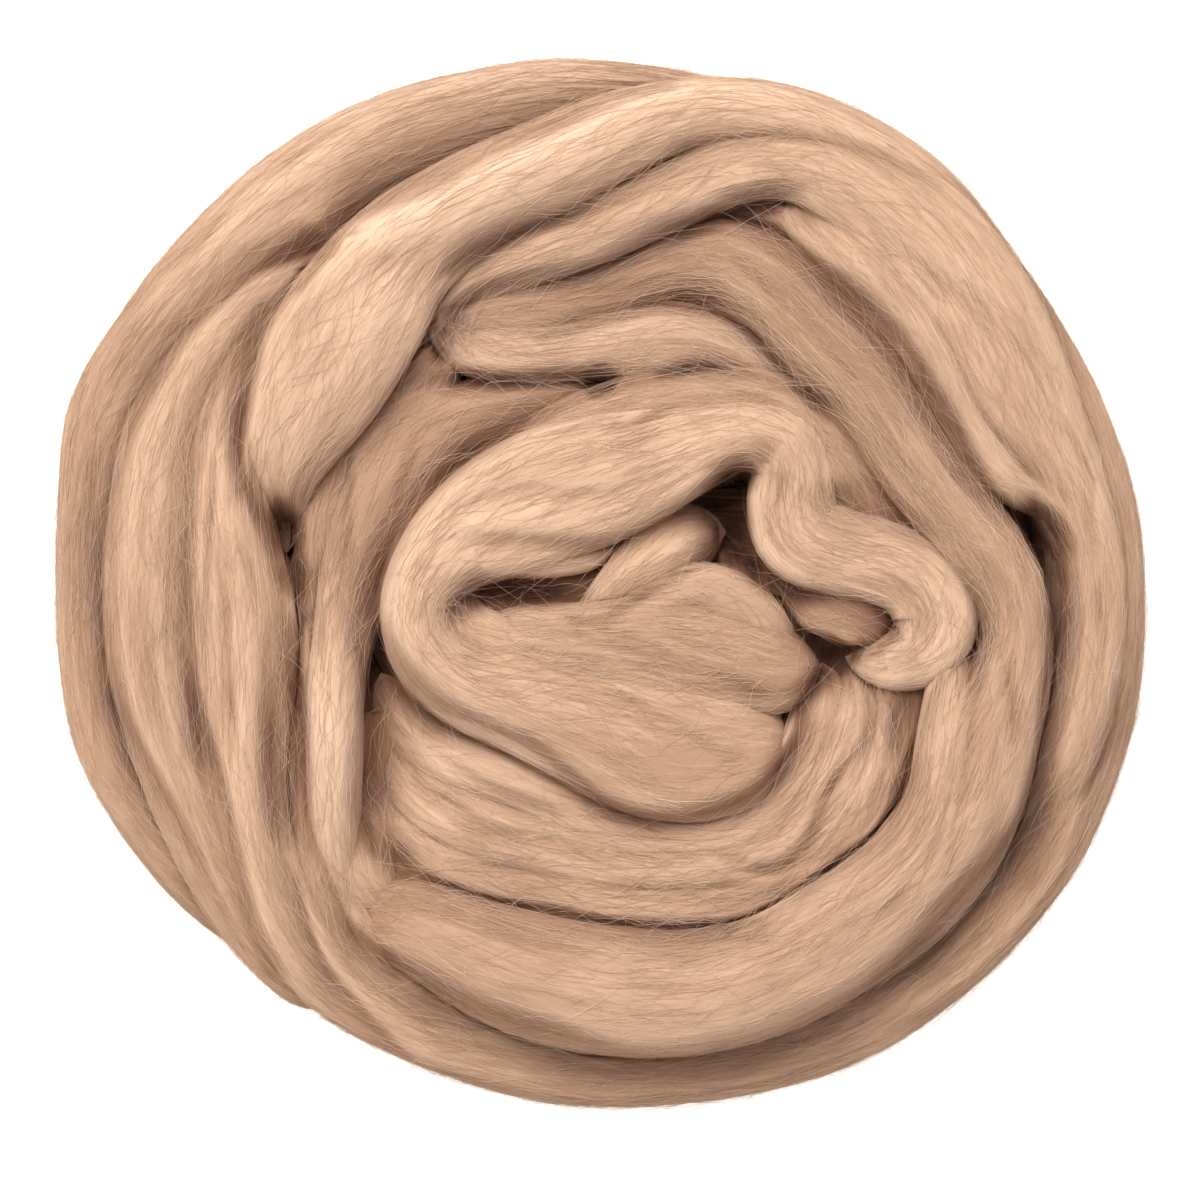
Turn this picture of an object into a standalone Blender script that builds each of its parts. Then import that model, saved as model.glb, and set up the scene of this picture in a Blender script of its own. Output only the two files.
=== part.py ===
"""A nest of combed wool roving: one soft, untwisted strand wound into a flat round nest.

The strand is laid in big turns round a low core, and each visible turn is a run of the
strand given by a short table, a row for each section that it passes. The runs lie over
one another as they do in the wound nest and are fused into one closed solid, flat where
it rests.

Frame: +Z up, origin on the resting plane at the middle of the nest's outline.
"""

import math
from collections import namedtuple

import bmesh
import bpy

MM = 0.001
NEST_NAME = "wound_roving"
HALF_ACROSS = 100.0  # mm, half the nest's width along X
HALF_DEEP = 95.5  # mm, half the nest's width along Y

SECTION_POINTS = 24  # points round a run's section
FULLNESS = 2.2  # exponent of a section's outline: 2 is an ellipse, more is fuller
STEP = 2.5  # mm between a run's sections
TIP_SECTIONS = 4  # sections that round off each end of a run
FUSE_VOXEL = 1.7  # mm, grid on which the runs are fused
SOFTEN_STEPS = 2  # passes that soften the fused creases
SOFTEN_SHARE = 0.5  # how much of the way each pass goes
JOIN_WITHIN = 0.01  # mm, points of a run nearer than this are one
FLAT_BELOW = 1.2  # mm, what lies lower than this is pressed flat on the resting plane
SOLID_TRIANGLES = 10400

WOOL_COLOUR = (0.62, 0.42, 0.28, 1.0)
WOOL_ROUGHNESS = 0.9

# One section of a run, in millimetres: its middle in plan, the height of its crown above
# the resting plane, and its width and depth. The strand is soft, so both change freely.
Section = namedtuple("Section", "x y crown width depth")


def run(*rows):
    """A run of the strand from rows of (x, y, crown, width, depth)."""
    return [Section(*row) for row in rows]


# The long turn: down the left side, round the bottom and right edges, over the top, and
# down again into the nest at the left.
LONG_TURN = run(
    (-51, 58, 42, 7, 10),
    (-56, 52, 48, 10, 14),
    (-62, 43, 51, 12, 16),
    (-66.5, 31, 53, 13.5, 18),
    (-67.5, 18, 54, 15, 18),
    (-66.5, 6, 55, 17, 20),
    (-65, -5, 55, 18.5, 20),
    (-64.5, -17, 55, 18, 20),
    (-64.5, -29, 54, 16, 20),
    (-63, -41, 53, 14, 20),
    (-60, -52, 51, 13.5, 20),
    (-55.5, -62, 49, 13.5, 20),
    (-48.5, -70.5, 45, 15, 20),
    (-37, -77.5, 42, 17, 22),
    (-22, -82.5, 40, 18, 22),
    (-5, -86, 39, 18, 22),
    (12, -86, 39, 18, 22),
    (30, -83.5, 39, 18, 22),
    (45.5, -78, 40, 18, 22),
    (58.5, -69.5, 41, 18, 22),
    (69.7, -59.2, 42, 18, 22),
    (78.3, -47.7, 43, 18, 22),
    (84, -34.5, 44, 18, 22),
    (88.3, -19.5, 45, 18, 22),
    (90.5, -4, 46, 17.5, 22),
    (89.5, 12, 46, 17, 22),
    (84.5, 27.5, 47, 17, 22),
    (76.5, 43, 48, 17, 22),
    (67.5, 57, 50, 16, 22),
    (57, 69.8, 53, 14.5, 22),
    (44.5, 78.5, 55, 13.5, 22),
    (31, 83.5, 57, 13.5, 20),
    (18, 84.3, 58.5, 13.5, 20),
    (4, 80.2, 60, 17, 20),
    (-10, 74.4, 61.5, 17.5, 20),
    (-23.7, 68, 62, 18, 20),
    (-35.5, 59.3, 62, 21, 20),
    (-43.8, 48, 62, 24.5, 20),
    (-50.5, 36.5, 60, 23.5, 20),
    (-56, 26, 55.5, 18, 18),
    (-58.2, 18.5, 50.5, 13.5, 16),
    (-58.2, 12, 43, 10, 12),
    (-57, 6, 36, 7, 10),
)

# The outermost turn at the upper left, which passes under the long turn at both ends.
OUTER_TURN = run(
    (52, 66, 36, 17, 20),
    (38, 76, 42, 18, 20),
    (23, 83, 46, 18, 20),
    (8, 86.3, 48, 17.5, 22),
    (-8, 86, 49, 18, 22),
    (-24, 82.5, 50, 19.5, 22),
    (-39, 77, 50, 21.5, 22),
    (-53, 68.5, 49.5, 22.5, 22),
    (-66, 58, 48, 21, 22),
    (-77.5, 45.5, 46, 20, 22),
    (-87.5, 31, 44, 19, 22),
    (-91, 16, 42.5, 17, 22),
    (-92.2, 0, 41, 15.5, 22),
    (-91.2, -15, 40.5, 15.5, 22),
    (-88, -29.5, 40.5, 15.5, 22),
    (-80.7, -42, 40.5, 15.5, 22),
    (-71.5, -53, 40, 15, 22),
    (-60.5, -61.5, 37, 15, 22),
    (-48.5, -69.5, 33, 16, 20),
    (-34, -75.5, 28, 17, 20),
)

# The turn that lies beside the long turn at the left.
LEFT_TURN = run(
    (-49, 60, 41, 7, 10),
    (-58, 55, 47, 10, 14),
    (-67.5, 47, 50, 13, 16),
    (-74, 37, 51.5, 15, 18),
    (-78.5, 26, 52, 16, 18),
    (-80.5, 14, 52, 17, 18),
    (-81.5, 0, 52, 17.5, 18),
    (-80.8, -14, 52, 17.5, 18),
    (-77.8, -28, 51, 16.5, 18),
    (-73.5, -40, 50, 15, 18),
    (-68.7, -51, 48, 14, 18),
    (-62.5, -61, 45, 13.5, 18),
    (-55.5, -69, 40, 13, 16),
    (-46.5, -75, 33, 12, 14),
)

# The inner turn: it starts in the nest at the right, doubles back at the upper left and
# runs right round the heart of the nest.
INNER_TURN = run(
    (42, 29, 40, 5, 8),
    (37, 33.5, 46, 7, 10),
    (30, 38.5, 51, 9.5, 12),
    (22, 43, 54, 11.5, 12),
    (12, 44.8, 55, 12.5, 12),
    (2, 43.5, 54, 11.5, 12),
    (-8, 42, 52, 10.5, 12),
    (-17, 41.8, 51, 10.5, 12),
    (-24, 43.2, 50, 10, 11),
    (-26.8, 47, 50, 9, 10),
    (-22.5, 50.3, 50.5, 10, 11),
    (-14, 50.8, 50.5, 11.5, 12),
    (-5, 52, 50, 13, 14),
    (5, 55, 51, 15, 16),
    (14, 57.8, 53, 17, 18),
    (23.5, 57.5, 56, 18.5, 18),
    (32, 52.5, 58.5, 19, 20),
    (39.5, 45, 59.5, 19, 20),
    (46.5, 38, 60, 18.5, 20),
    (53, 29.5, 60, 17.5, 20),
    (59, 20.5, 60, 16.5, 20),
    (66, 12, 60, 15.5, 20),
    (72.3, 3, 59.5, 15, 20),
    (74.8, -7, 58.5, 14, 20),
    (73.5, -17, 58, 15.5, 20),
    (70.3, -26, 57.5, 18.5, 20),
    (67.5, -35, 57.5, 20.5, 20),
    (64, -44, 57.5, 21, 20),
    (57.5, -53, 57.5, 21, 20),
    (49, -60.5, 57.5, 21.5, 20),
    (38.5, -67, 57.5, 22, 20),
    (26, -72, 57.5, 22.5, 20),
    (11.5, -74, 57.5, 23, 20),
    (-3.5, -72.5, 57.5, 22.5, 20),
    (-16.5, -69, 56, 21, 20),
    (-26.5, -64.8, 53, 18, 20),
    (-33.5, -62.2, 50.3, 16, 18),
    (-39.3, -61.5, 47, 13.5, 15),
    (-44, -62.8, 42.5, 10, 11),
    (-48, -65, 37, 7, 8),
)

# The inner turn's inner edge, a fold that comes out from under the hook.
INNER_RIDGE = run(
    (63.5, -5, 43, 6, 8),
    (64.3, -13, 51, 9, 12),
    (63.5, -21, 55, 10.5, 14),
    (62.2, -29, 57.3, 11, 16),
    (61, -37, 58.5, 11.5, 18),
    (57.8, -45, 59, 12.5, 18),
    (51.5, -52, 59, 13, 18),
    (43, -58.5, 58.5, 13, 18),
    (33, -64.5, 57, 13, 16),
    (22, -68.5, 54, 11, 14),
    (12, -70, 50, 8, 12),
)

# Out of the nest at the upper left, along under the long turn, and down the right side.
RIGHT_TURN = run(
    (-32, 38, 40, 6, 8),
    (-30.5, 46, 47, 9, 12),
    (-25, 53.5, 52, 11, 14),
    (-14, 59, 55, 12.5, 14),
    (-1, 63.5, 57, 13, 14),
    (11, 69, 58, 13.5, 14),
    (23, 74.5, 58, 14, 14),
    (34, 76, 57.5, 15, 14),
    (44, 72.5, 57.5, 18, 16),
    (54, 65.5, 57.5, 20.5, 18),
    (63, 56, 57.5, 21, 18),
    (70.5, 44.5, 57, 20.5, 18),
    (77, 31.5, 56, 18.5, 18),
    (83.5, 18.5, 54, 15, 18),
    (88.3, 7, 52.5, 12.5, 18),
    (89.3, -4, 51.5, 12.5, 18),
    (88, -17, 51, 13.5, 18),
    (84.8, -30, 49, 13.5, 16),
    (79.5, -41, 44, 12, 14),
    (74, -49.5, 38, 10, 12),
)

# The lock that splits from the right turn and dips into the nest beside it.
RIGHT_LOCK = run(
    (30, 73, 43, 6, 8),
    (37, 67.8, 49.5, 11, 12),
    (44, 60.5, 54, 14.5, 14),
    (52, 51.5, 56, 16, 16),
    (58.5, 42, 56, 14, 16),
    (63.5, 32, 56, 12, 16),
    (69, 24, 56, 11, 14),
    (75, 18.8, 54, 9.5, 12),
    (81, 15.5, 50, 8, 10),
    (86, 10.5, 45, 6.5, 8),
)

# The narrow turn that shows between the left side and the inner turn, and goes on round
# the bottom below the inner turn's edge.
LOW_TURN = run(
    (-55.5, -4, 42, 6, 8),
    (-55, -14, 45, 9, 12),
    (-54.6, -27, 46, 10.5, 14),
    (-54, -40, 46, 10.5, 14),
    (-51.8, -52, 46, 11.5, 14),
    (-46, -64.5, 44.5, 14, 14),
    (-37, -73, 43, 15, 14),
    (-25, -78.5, 41, 16, 16),
    (-10, -81.5, 39, 16, 16),
    (7, -82, 38, 16, 16),
    (25, -79.5, 35, 16, 16),
    (41, -73.5, 34, 16, 16),
    (55, -64.5, 35, 16, 16),
    (66, -54.5, 36, 16, 16),
    (74.5, -44, 37, 15, 16),
    (80, -32, 39, 13, 14),
)

# From under the heart, out to the left and down, where it ends over the inner turn's tip.
TUCKED_TURN = run(
    (12, 36.5, 44, 7, 8),
    (3, 35.5, 46, 8, 10),
    (-8, 33.5, 47, 11, 12),
    (-18, 31.5, 47.5, 13.5, 14),
    (-27, 28, 48, 15, 14),
    (-34.5, 22, 49, 17, 16),
    (-40, 13, 49, 17.5, 16),
    (-43.5, 3, 48.5, 15.5, 16),
    (-46, -7, 49.5, 12.5, 14),
    (-47.6, -18, 51, 11, 14),
    (-48, -29, 51.8, 11, 14),
    (-48, -38.5, 50.5, 10.3, 12),
    (-47.7, -46, 48, 8.8, 11),
    (-46.8, -52, 44.5, 6.5, 9),
    (-45, -57, 40, 4.5, 7),
)

# The heart: an arm that loops round at the left and ends in a broad fan, and the hook
# that it folds down into at the right.
HEART_ARM = run(
    (44.5, -13, 42, 5, 8),
    (48.5, -14, 47.5, 7.5, 10),
    (52.5, -14, 51.5, 10, 12),
    (57.5, -12.2, 54, 13, 14),
    (60.6, -6, 56, 16, 16),
    (57.2, 0.6, 56.5, 16.5, 16),
    (50.5, 3.9, 56.5, 16, 16),
    (43, 5.8, 56.5, 16, 16),
    (36.8, 9.2, 57, 15.5, 16),
    (34.3, 15, 57, 15, 16),
    (34.6, 20.8, 57.3, 14.5, 16),
    (31.6, 25.7, 58, 14.5, 17),
    (25.3, 27.4, 58.5, 14.5, 18),
    (17.5, 25.3, 58.5, 17.5, 18),
    (8, 21.8, 58, 22, 18),
    (-1, 18.3, 58, 24.5, 18),
    (-11, 15, 58, 25, 18),
    (-20, 10.8, 58, 22.5, 18),
    (-28, 5, 58, 17.5, 18),
    (-33, -3, 58, 13.5, 18),
    (-31.5, -11.5, 58, 14, 18),
    (-24.5, -17.5, 58, 16.5, 18),
    (-14, -20.3, 58, 21, 18),
    (-4, -23, 57.5, 26, 18),
    (6, -25.8, 57, 31, 18),
    (16, -28, 56, 31, 18),
    (24.5, -28.5, 54, 26, 16),
    (30.5, -28, 50.3, 19, 13),
    (35, -27.3, 43, 11, 9),
)
HEART_FAN = run(
    (-22, -8, 52, 8, 12),
    (-12, -9.5, 55.5, 12, 16),
    (-1, -10.5, 57, 16, 17),
    (9, -11, 57, 20, 17),
    (18.5, -12.8, 56.3, 22.5, 17),
    (26, -13.8, 55, 20, 15),
    (32, -14.3, 52.5, 15, 13),
    (37.5, -14, 48, 9.5, 11),
    (41.5, -13.5, 42, 5, 8),
)
HEART_BROW = run(
    (-5, -7, 47, 5, 8),
    (3, -4.5, 51, 7.5, 12),
    (11, -2.6, 53.5, 9.5, 12),
    (19, -2.6, 54.2, 10, 12),
    (26.5, -5.3, 53.2, 9, 12),
    (32, -9.5, 50, 7.5, 10),
    (35, -13.5, 44, 5, 8),
)
HEART_SHOULDER = run(
    (-17, 24.5, 46, 6, 8),
    (-8, 28.6, 51, 9, 10),
    (3, 32, 53, 10.5, 12),
    (15, 33.8, 55, 11.5, 12),
    (27, 33.2, 55, 11.5, 12),
    (37, 29.5, 54.5, 13, 12),
    (43.5, 23.5, 54, 15, 12),
    (48.5, 17, 52.5, 15.5, 12),
    (53.5, 10.5, 50, 13, 12),
    (59, 4, 46, 10, 10),
)
HEART_TONGUE = run(
    (33, 0, 42, 6, 8),
    (38, -3.2, 48.5, 9, 10),
    (44.5, -5, 51.5, 11, 12),
    (49.5, -7.6, 50, 9, 10),
    (52.5, -11.5, 43, 6, 8),
)
HEART_TUFT = run(
    (25, 8.5, 38, 9, 8),
    (21.3, 9, 46.5, 13, 11),
    (15.5, 8.3, 51.3, 14.5, 12),
    (9.5, 5, 53, 12.5, 12),
    (4, 1.4, 52.5, 9.5, 12),
    (-1, -2.6, 50.5, 7, 10),
    (-5, -6.6, 46, 4.5, 8),
)
HEART_LIP = run(
    (-29.5, -2, 46, 7, 8),
    (-26, 3, 51.5, 8, 10),
    (-19, 4.5, 53.2, 7, 10),
    (-11, 4.2, 53.2, 6.5, 10),
    (-3, 5.2, 52, 6.5, 10),
    (4, 8.5, 48, 6, 8),
)
HEART_FOLD = run(
    (-21, 4, 46, 6, 8),
    (-25.5, -0.5, 50.5, 7.5, 10),
    (-25, -6, 53, 9, 12),
    (-19.5, -9.5, 54, 10, 12),
    (-12, -11, 54, 9, 12),
    (-4, -12, 50, 7, 10),
)

# Three locks of the turn that cradles the heart from below.
CRADLE_INNER = run(
    (-40, -16, 36, 6, 8),
    (-36, -24, 42, 9, 10),
    (-28.5, -30, 46, 11, 12),
    (-17, -34.5, 47.5, 12, 12),
    (-5, -39, 47.5, 12, 12),
    (6, -43, 47.5, 12, 12),
    (16, -44.5, 47.5, 12, 12),
    (25.5, -42.5, 47.5, 12, 12),
    (33, -37, 47.5, 12, 12),
    (38, -29.5, 47.5, 12, 12),
    (40, -21, 46, 11, 12),
    (39.5, -14, 40, 7, 8),
)
CRADLE_MIDDLE = run(
    (-40, -25, 36, 6, 8),
    (-36.5, -33, 42, 9, 12),
    (-29, -39.5, 46, 11, 12),
    (-18, -44, 47.5, 11.5, 12),
    (-5, -47.5, 47.5, 11.5, 12),
    (8, -50, 47.5, 11.5, 12),
    (20, -50, 47.5, 11.5, 12),
    (31, -46.3, 47.5, 11.5, 12),
    (39.5, -39, 47.5, 11.5, 12),
    (44.5, -30, 47.5, 11.5, 12),
    (46, -21.5, 46, 10, 12),
    (45, -15, 40, 6, 8),
)
CRADLE_OUTER = run(
    (-41, -35, 34, 6, 8),
    (-37, -43, 40, 9, 10),
    (-30, -49, 43, 11, 12),
    (-19, -53, 45, 12.5, 12),
    (-6, -55.8, 46, 13.5, 12),
    (8, -57.5, 46, 14, 12),
    (22, -57, 46, 14, 12),
    (34.5, -53, 46, 13, 12),
    (43.7, -45.8, 46.5, 12.5, 12),
    (49.3, -37, 46.5, 11.5, 12),
    (51.8, -28, 45.5, 10.5, 12),
    (53, -20, 43, 9, 12),
    (53.5, -13, 39, 7, 10),
)

# Low turns that close the nest between the visible ones.
LOW_HEART = run(
    (-30, 4, 42, 10, 14),
    (-20, -1, 45, 12, 14),
    (-6, -1, 45, 13, 14),
    (8, 4, 43, 15, 14),
    (20, 10, 43, 18, 14),
    (34, 8, 43, 20, 14),
    (46, 2, 43, 20, 14),
    (54, -10, 45, 18, 14),
    (56, -23, 46, 15, 14),
    (53.5, -36, 46, 12, 12),
    (46, -48, 45, 12, 12),
    (34, -57, 46, 11, 12),
    (18, -62, 46.5, 10, 12),
    (2, -62, 46, 10, 12),
    (-14, -60, 45, 10, 12),
    (-28, -55, 43, 10, 12),
    (-38, -48, 41, 10, 12),
    (-41, -36, 41, 9, 12),
    (-40.5, -22, 42, 8, 12),
)
LOW_LEFT = run(
    (-33, 35.5, 45, 12, 12),
    (-42.5, 28, 48, 14, 14),
    (-49.5, 14, 44, 12, 14),
    (-51.5, 1, 42, 11, 14),
    (-52, -14, 42, 12, 13),
    (-50, -30, 42, 12, 14),
    (-44.5, -43, 44, 12, 12),
    (-42, -53, 44, 12, 12),
    (-37, -60, 40, 9, 10),
)
LOW_POCKET = run(
    (6, 62, 42, 10, 10),
    (17, 66, 46, 12, 12),
    (28, 68, 47, 13, 12),
    (38, 64, 46, 12, 12),
    (46, 56, 43, 10, 10),
)

RUNS = (
    LONG_TURN,
    OUTER_TURN,
    LEFT_TURN,
    INNER_TURN,
    INNER_RIDGE,
    RIGHT_TURN,
    RIGHT_LOCK,
    LOW_TURN,
    TUCKED_TURN,
    HEART_ARM,
    HEART_FAN,
    HEART_BROW,
    HEART_SHOULDER,
    HEART_TONGUE,
    HEART_TUFT,
    HEART_LIP,
    HEART_FOLD,
    CRADLE_INNER,
    CRADLE_MIDDLE,
    CRADLE_OUTER,
    LOW_HEART,
    LOW_LEFT,
    LOW_POCKET,
)

# The lower layer: closed turns that follow the outline further in, under what shows from
# above. Columns: inset from the outline, crown, width, depth, in millimetres.
BasementTurn = namedtuple("BasementTurn", "inset crown width depth")
BASEMENT = (
    BasementTurn(15, 27, 26, 30),
    BasementTurn(37, 30, 24, 34),
    BasementTurn(58, 32, 24, 36),
)
BASEMENT_SECTIONS = 72
CORE_INSET = 20.0  # mm, how far the core's wall stands inside the outline
CORE_TOP = 35.0  # mm
OUTLINE_INSET = 1.0  # mm, how far the lower layer's outline stands inside the ellipse
CORNER_SWELL = 1.05  # mm, how far that outline swells at two of its corners
CORNER_TURN = 70.0  # degrees, which corners those are


def outline_radius(angle):
    """How far the nest's outline is from the origin at an angle in plan, in millimetres."""
    across = math.cos(angle) / HALF_ACROSS
    deep = math.sin(angle) / HALF_DEEP
    corner = CORNER_SWELL * math.cos(2 * angle + math.radians(CORNER_TURN))
    return 1.0 / math.hypot(across, deep) - OUTLINE_INSET + corner


def blend_rows(before, start, end, after, share):
    """A row on the smooth curve through four rows, at a share of the way from start to end."""
    return [
        0.5
        * (
            2 * b
            + (c - a) * share
            + (2 * a - 5 * b + 4 * c - d) * share**2
            + (3 * b - a - 3 * c + d) * share**3
        )
        for a, b, c, d in zip(before, start, end, after)
    ]


def smooth_sections(rows):
    """The run's sections about STEP apart, on a smooth curve through its rows."""
    made = []
    padded = [rows[0], *rows, rows[-1]]
    for before, start, end, after in zip(padded, padded[1:], padded[2:], padded[3:]):
        count = max(1, round(math.hypot(end.x - start.x, end.y - start.y) / STEP))
        for i in range(count):
            made.append(Section(*blend_rows(before, start, end, after, i / count)))
    made.append(rows[-1])
    return made


def basement_sections(turn):
    """The sections of a closed turn in the lower layer."""
    made = []
    for i in range(BASEMENT_SECTIONS + 1):
        angle = 2 * math.pi * i / BASEMENT_SECTIONS
        radius = outline_radius(angle) - turn.inset
        made.append(
            Section(
                radius * math.cos(angle),
                radius * math.sin(angle),
                turn.crown,
                turn.width,
                turn.depth,
            )
        )
    return made


def full_curve(wave):
    """A sine or cosine made fuller, so that a section is flatter on top and steep at the sides."""
    return math.copysign(abs(wave) ** (2 / FULLNESS), wave)


def tip_share(index, last):
    """How full a section is: a run's two ends are rounded off like a finger's tip."""
    from_end = min(index, last - index)
    if from_end >= TIP_SECTIONS:
        return 1.0
    reach = 1 - from_end / TIP_SECTIONS
    return math.sqrt(max(0.0, 1 - reach * reach))


def lay_run(solid, sections, closed=False):
    """Adds a run to the mesh as a grid of faces rolled into a tube round its sections."""
    last = len(sections) - 1
    grid = bmesh.ops.create_grid(
        solid, x_segments=last, y_segments=SECTION_POINTS, size=1.0
    )["verts"]
    for vert in grid:
        index = round((vert.co.x + 1) / 2 * last)
        turn = 2 * math.pi * (vert.co.y + 1) / 2
        here = sections[index]
        if closed:
            ahead, behind = sections[(index + 1) % last], sections[(index - 1) % last]
        else:
            ahead, behind = sections[min(index + 1, last)], sections[max(index - 1, 0)]
        along = math.atan2(ahead.y - behind.y, ahead.x - behind.x)
        full = 1.0 if closed else tip_share(index, last)
        side = full * here.width / 2 * full_curve(math.cos(turn))
        height = here.crown - here.depth / 2 * (1 - full * full_curve(math.sin(turn)))
        vert.co.x = MM * (here.x - side * math.sin(along))
        vert.co.y = MM * (here.y + side * math.cos(along))
        vert.co.z = MM * max(0.0, height)
    bmesh.ops.remove_doubles(solid, verts=grid, dist=JOIN_WITHIN * MM)


def lay_core(solid):
    """Adds the low core that the turns are wound on, a disc that follows the outline."""
    disc = bmesh.ops.create_cone(
        solid,
        cap_ends=True,
        segments=BASEMENT_SECTIONS,
        radius1=1.0,
        radius2=1.0,
        depth=CORE_TOP * MM,
    )["verts"]
    for vert in disc:
        angle = math.atan2(vert.co.y, vert.co.x)
        radius = (outline_radius(angle) - CORE_INSET) * MM
        vert.co.x = radius * math.cos(angle)
        vert.co.y = radius * math.sin(angle)
        vert.co.z += CORE_TOP / 2 * MM


def wound_mesh():
    """The mesh of every turn and the core, as they lie through one another."""
    solid = bmesh.new()
    lay_core(solid)
    for turn in BASEMENT:
        lay_run(solid, basement_sections(turn), closed=True)
    for rows in RUNS:
        lay_run(solid, smooth_sections(rows))
    bmesh.ops.recalc_face_normals(solid, faces=solid.faces)
    mesh = bpy.data.meshes.new(NEST_NAME)
    solid.to_mesh(mesh)
    solid.free()
    return mesh


def apply_modifiers(obj):
    """Puts what the object's modifiers make in its mesh."""
    graph = bpy.context.evaluated_depsgraph_get()
    mesh = bpy.data.meshes.new_from_object(obj.evaluated_get(graph))
    obj.modifiers.clear()
    obj.data = mesh


def keep_outer_skin(mesh):
    """Removes the skins of the small pockets that stay shut in between the turns."""
    skin = bmesh.new()
    skin.from_mesh(mesh)
    skin.verts.ensure_lookup_table()
    todo = set(skin.verts)
    islands = []
    while todo:
        island, edge = set(), [todo.pop()]
        while edge:
            vert = edge.pop()
            island.add(vert)
            for link in vert.link_edges:
                other = link.other_vert(vert)
                if other in todo:
                    todo.discard(other)
                    edge.append(other)
        islands.append(island)
    islands.sort(key=len)
    for island in islands[:-1]:
        bmesh.ops.delete(skin, geom=list(island), context="VERTS")
    skin.to_mesh(mesh)
    skin.free()


def press_flat(mesh):
    """Presses the underside flat on the resting plane."""
    for vert in mesh.vertices:
        if vert.co.z < FLAT_BELOW * MM:
            vert.co.z = 0.0


def wool_material():
    """Camel-coloured combed wool."""
    material = bpy.data.materials.new("camel_wool")
    material.use_nodes = True
    shader = material.node_tree.nodes["Principled BSDF"]
    shader.inputs["Base Color"].default_value = WOOL_COLOUR
    shader.inputs["Roughness"].default_value = WOOL_ROUGHNESS
    shader.inputs["Metallic"].default_value = 0.0
    return material


def build_nest():
    """The wound nest as one closed solid."""
    nest = bpy.data.objects.new(NEST_NAME, wound_mesh())
    collection = bpy.data.collections.new("wool_roving_nest")
    bpy.context.scene.collection.children.link(collection)
    collection.objects.link(nest)

    fuse = nest.modifiers.new("fuse", "REMESH")
    fuse.mode = "VOXEL"
    fuse.voxel_size = FUSE_VOXEL * MM
    soften = nest.modifiers.new("soften", "SMOOTH")
    soften.factor = SOFTEN_SHARE
    soften.iterations = SOFTEN_STEPS
    apply_modifiers(nest)
    keep_outer_skin(nest.data)
    press_flat(nest.data)

    thin = nest.modifiers.new("thin", "DECIMATE")
    triangles = sum(len(face.vertices) - 2 for face in nest.data.polygons)
    thin.ratio = SOLID_TRIANGLES / triangles
    apply_modifiers(nest)
    press_flat(nest.data)
    nest.data.materials.clear()
    nest.data.materials.append(wool_material())
    nest.data.shade_smooth()
    return nest


for stale in list(bpy.data.objects):
    bpy.data.objects.remove(stale)
build_nest()
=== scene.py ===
"""Looks of a wound nest of combed wool roving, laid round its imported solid.

One soft, untwisted strand is wound into a flat round nest. Each run of it that shows is a
lock with a ribbed skin, and fine fibres lie along the locks, stray across the creases and
stand off the outline.

Frame: metres, +Z up, origin on the resting plane at the middle of the nest. Up to the
finished points, lengths are in millimetres, as a maker would measure them.
"""

import logging
import math
from dataclasses import dataclass, field
from enum import Enum
from typing import Any, NamedTuple

import bpy
import numpy as np
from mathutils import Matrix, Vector


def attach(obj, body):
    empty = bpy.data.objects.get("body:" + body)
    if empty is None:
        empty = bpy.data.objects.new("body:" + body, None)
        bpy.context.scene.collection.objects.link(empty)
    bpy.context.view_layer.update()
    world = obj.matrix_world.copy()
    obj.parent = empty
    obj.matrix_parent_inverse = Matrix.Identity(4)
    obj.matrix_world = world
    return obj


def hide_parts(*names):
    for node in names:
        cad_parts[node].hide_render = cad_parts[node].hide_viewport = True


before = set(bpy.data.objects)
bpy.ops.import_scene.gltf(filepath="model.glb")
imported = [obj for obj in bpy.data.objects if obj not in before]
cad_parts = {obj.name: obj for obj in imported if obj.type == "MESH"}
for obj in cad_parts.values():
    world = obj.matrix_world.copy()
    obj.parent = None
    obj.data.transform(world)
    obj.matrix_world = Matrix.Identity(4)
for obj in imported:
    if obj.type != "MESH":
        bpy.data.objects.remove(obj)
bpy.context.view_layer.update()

MM = 0.001
BODY = "root"
SOLID_NODE = "wound_roving"
UV_LENGTH = 100.0  # mm of wool in one unit of a skin's UV map
OPENNESS = "openness"  # the attribute of how much of the sky a place sees
SHADE = "shade"  # the attribute of the wool's tone, with painted light and shade in it
log = logging.getLogger("roving")
Array = np.ndarray


class Section(NamedTuple):
    """One place that a run passes: its middle in plan, the height of its crown, and its
    width and depth there."""

    x: float
    y: float
    crown: float
    width: float
    depth: float


class Fold(NamedTuple):
    """One place that a crease passes: where it is in plan, how deep, and how far its low
    side reaches."""

    x: float
    y: float
    depth: float
    reach: float


class Hollow(NamedTuple):
    """A hollow between turns: its middle in plan, its depth, its two half-widths, and how far
    its length turns from the X axis, in degrees."""

    x: float
    y: float
    depth: float
    along: float
    across: float
    turn: float


class Tone(Enum):
    """The shades of wool in the strand: partly the wool's own colour, and partly painted light and
    shade, a lit copy for locks that lie high in the light and a shaded copy for locks that lie low in
    shadow.
    """

    # The cream tone is partly painted light, for locks high in the light; the cocoa tone is partly
    # painted shade, for locks low in shadow.
    CREAM_LIT = "cream_lit"
    CAMEL = "camel"
    COCOA_SHADED = "cocoa_shaded"


def filled(rows: tuple[tuple[float, ...], ...]) -> list[tuple[float, ...]]:
    """Fills in what a table's rows leave out at their ends, which is as in the row before.

    Args:
        rows: the rows.

    Returns:
        The rows in full.
    """
    full = [rows[0]]
    for row in rows[1:]:
        full.append(row + full[-1][len(row) :])
    return full


def run(*rows: tuple[float, ...]) -> tuple[Section, ...]:
    """The sections of a run, from rows of x, y, crown, width and depth."""
    return tuple(Section(*row) for row in filled(rows))


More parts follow.
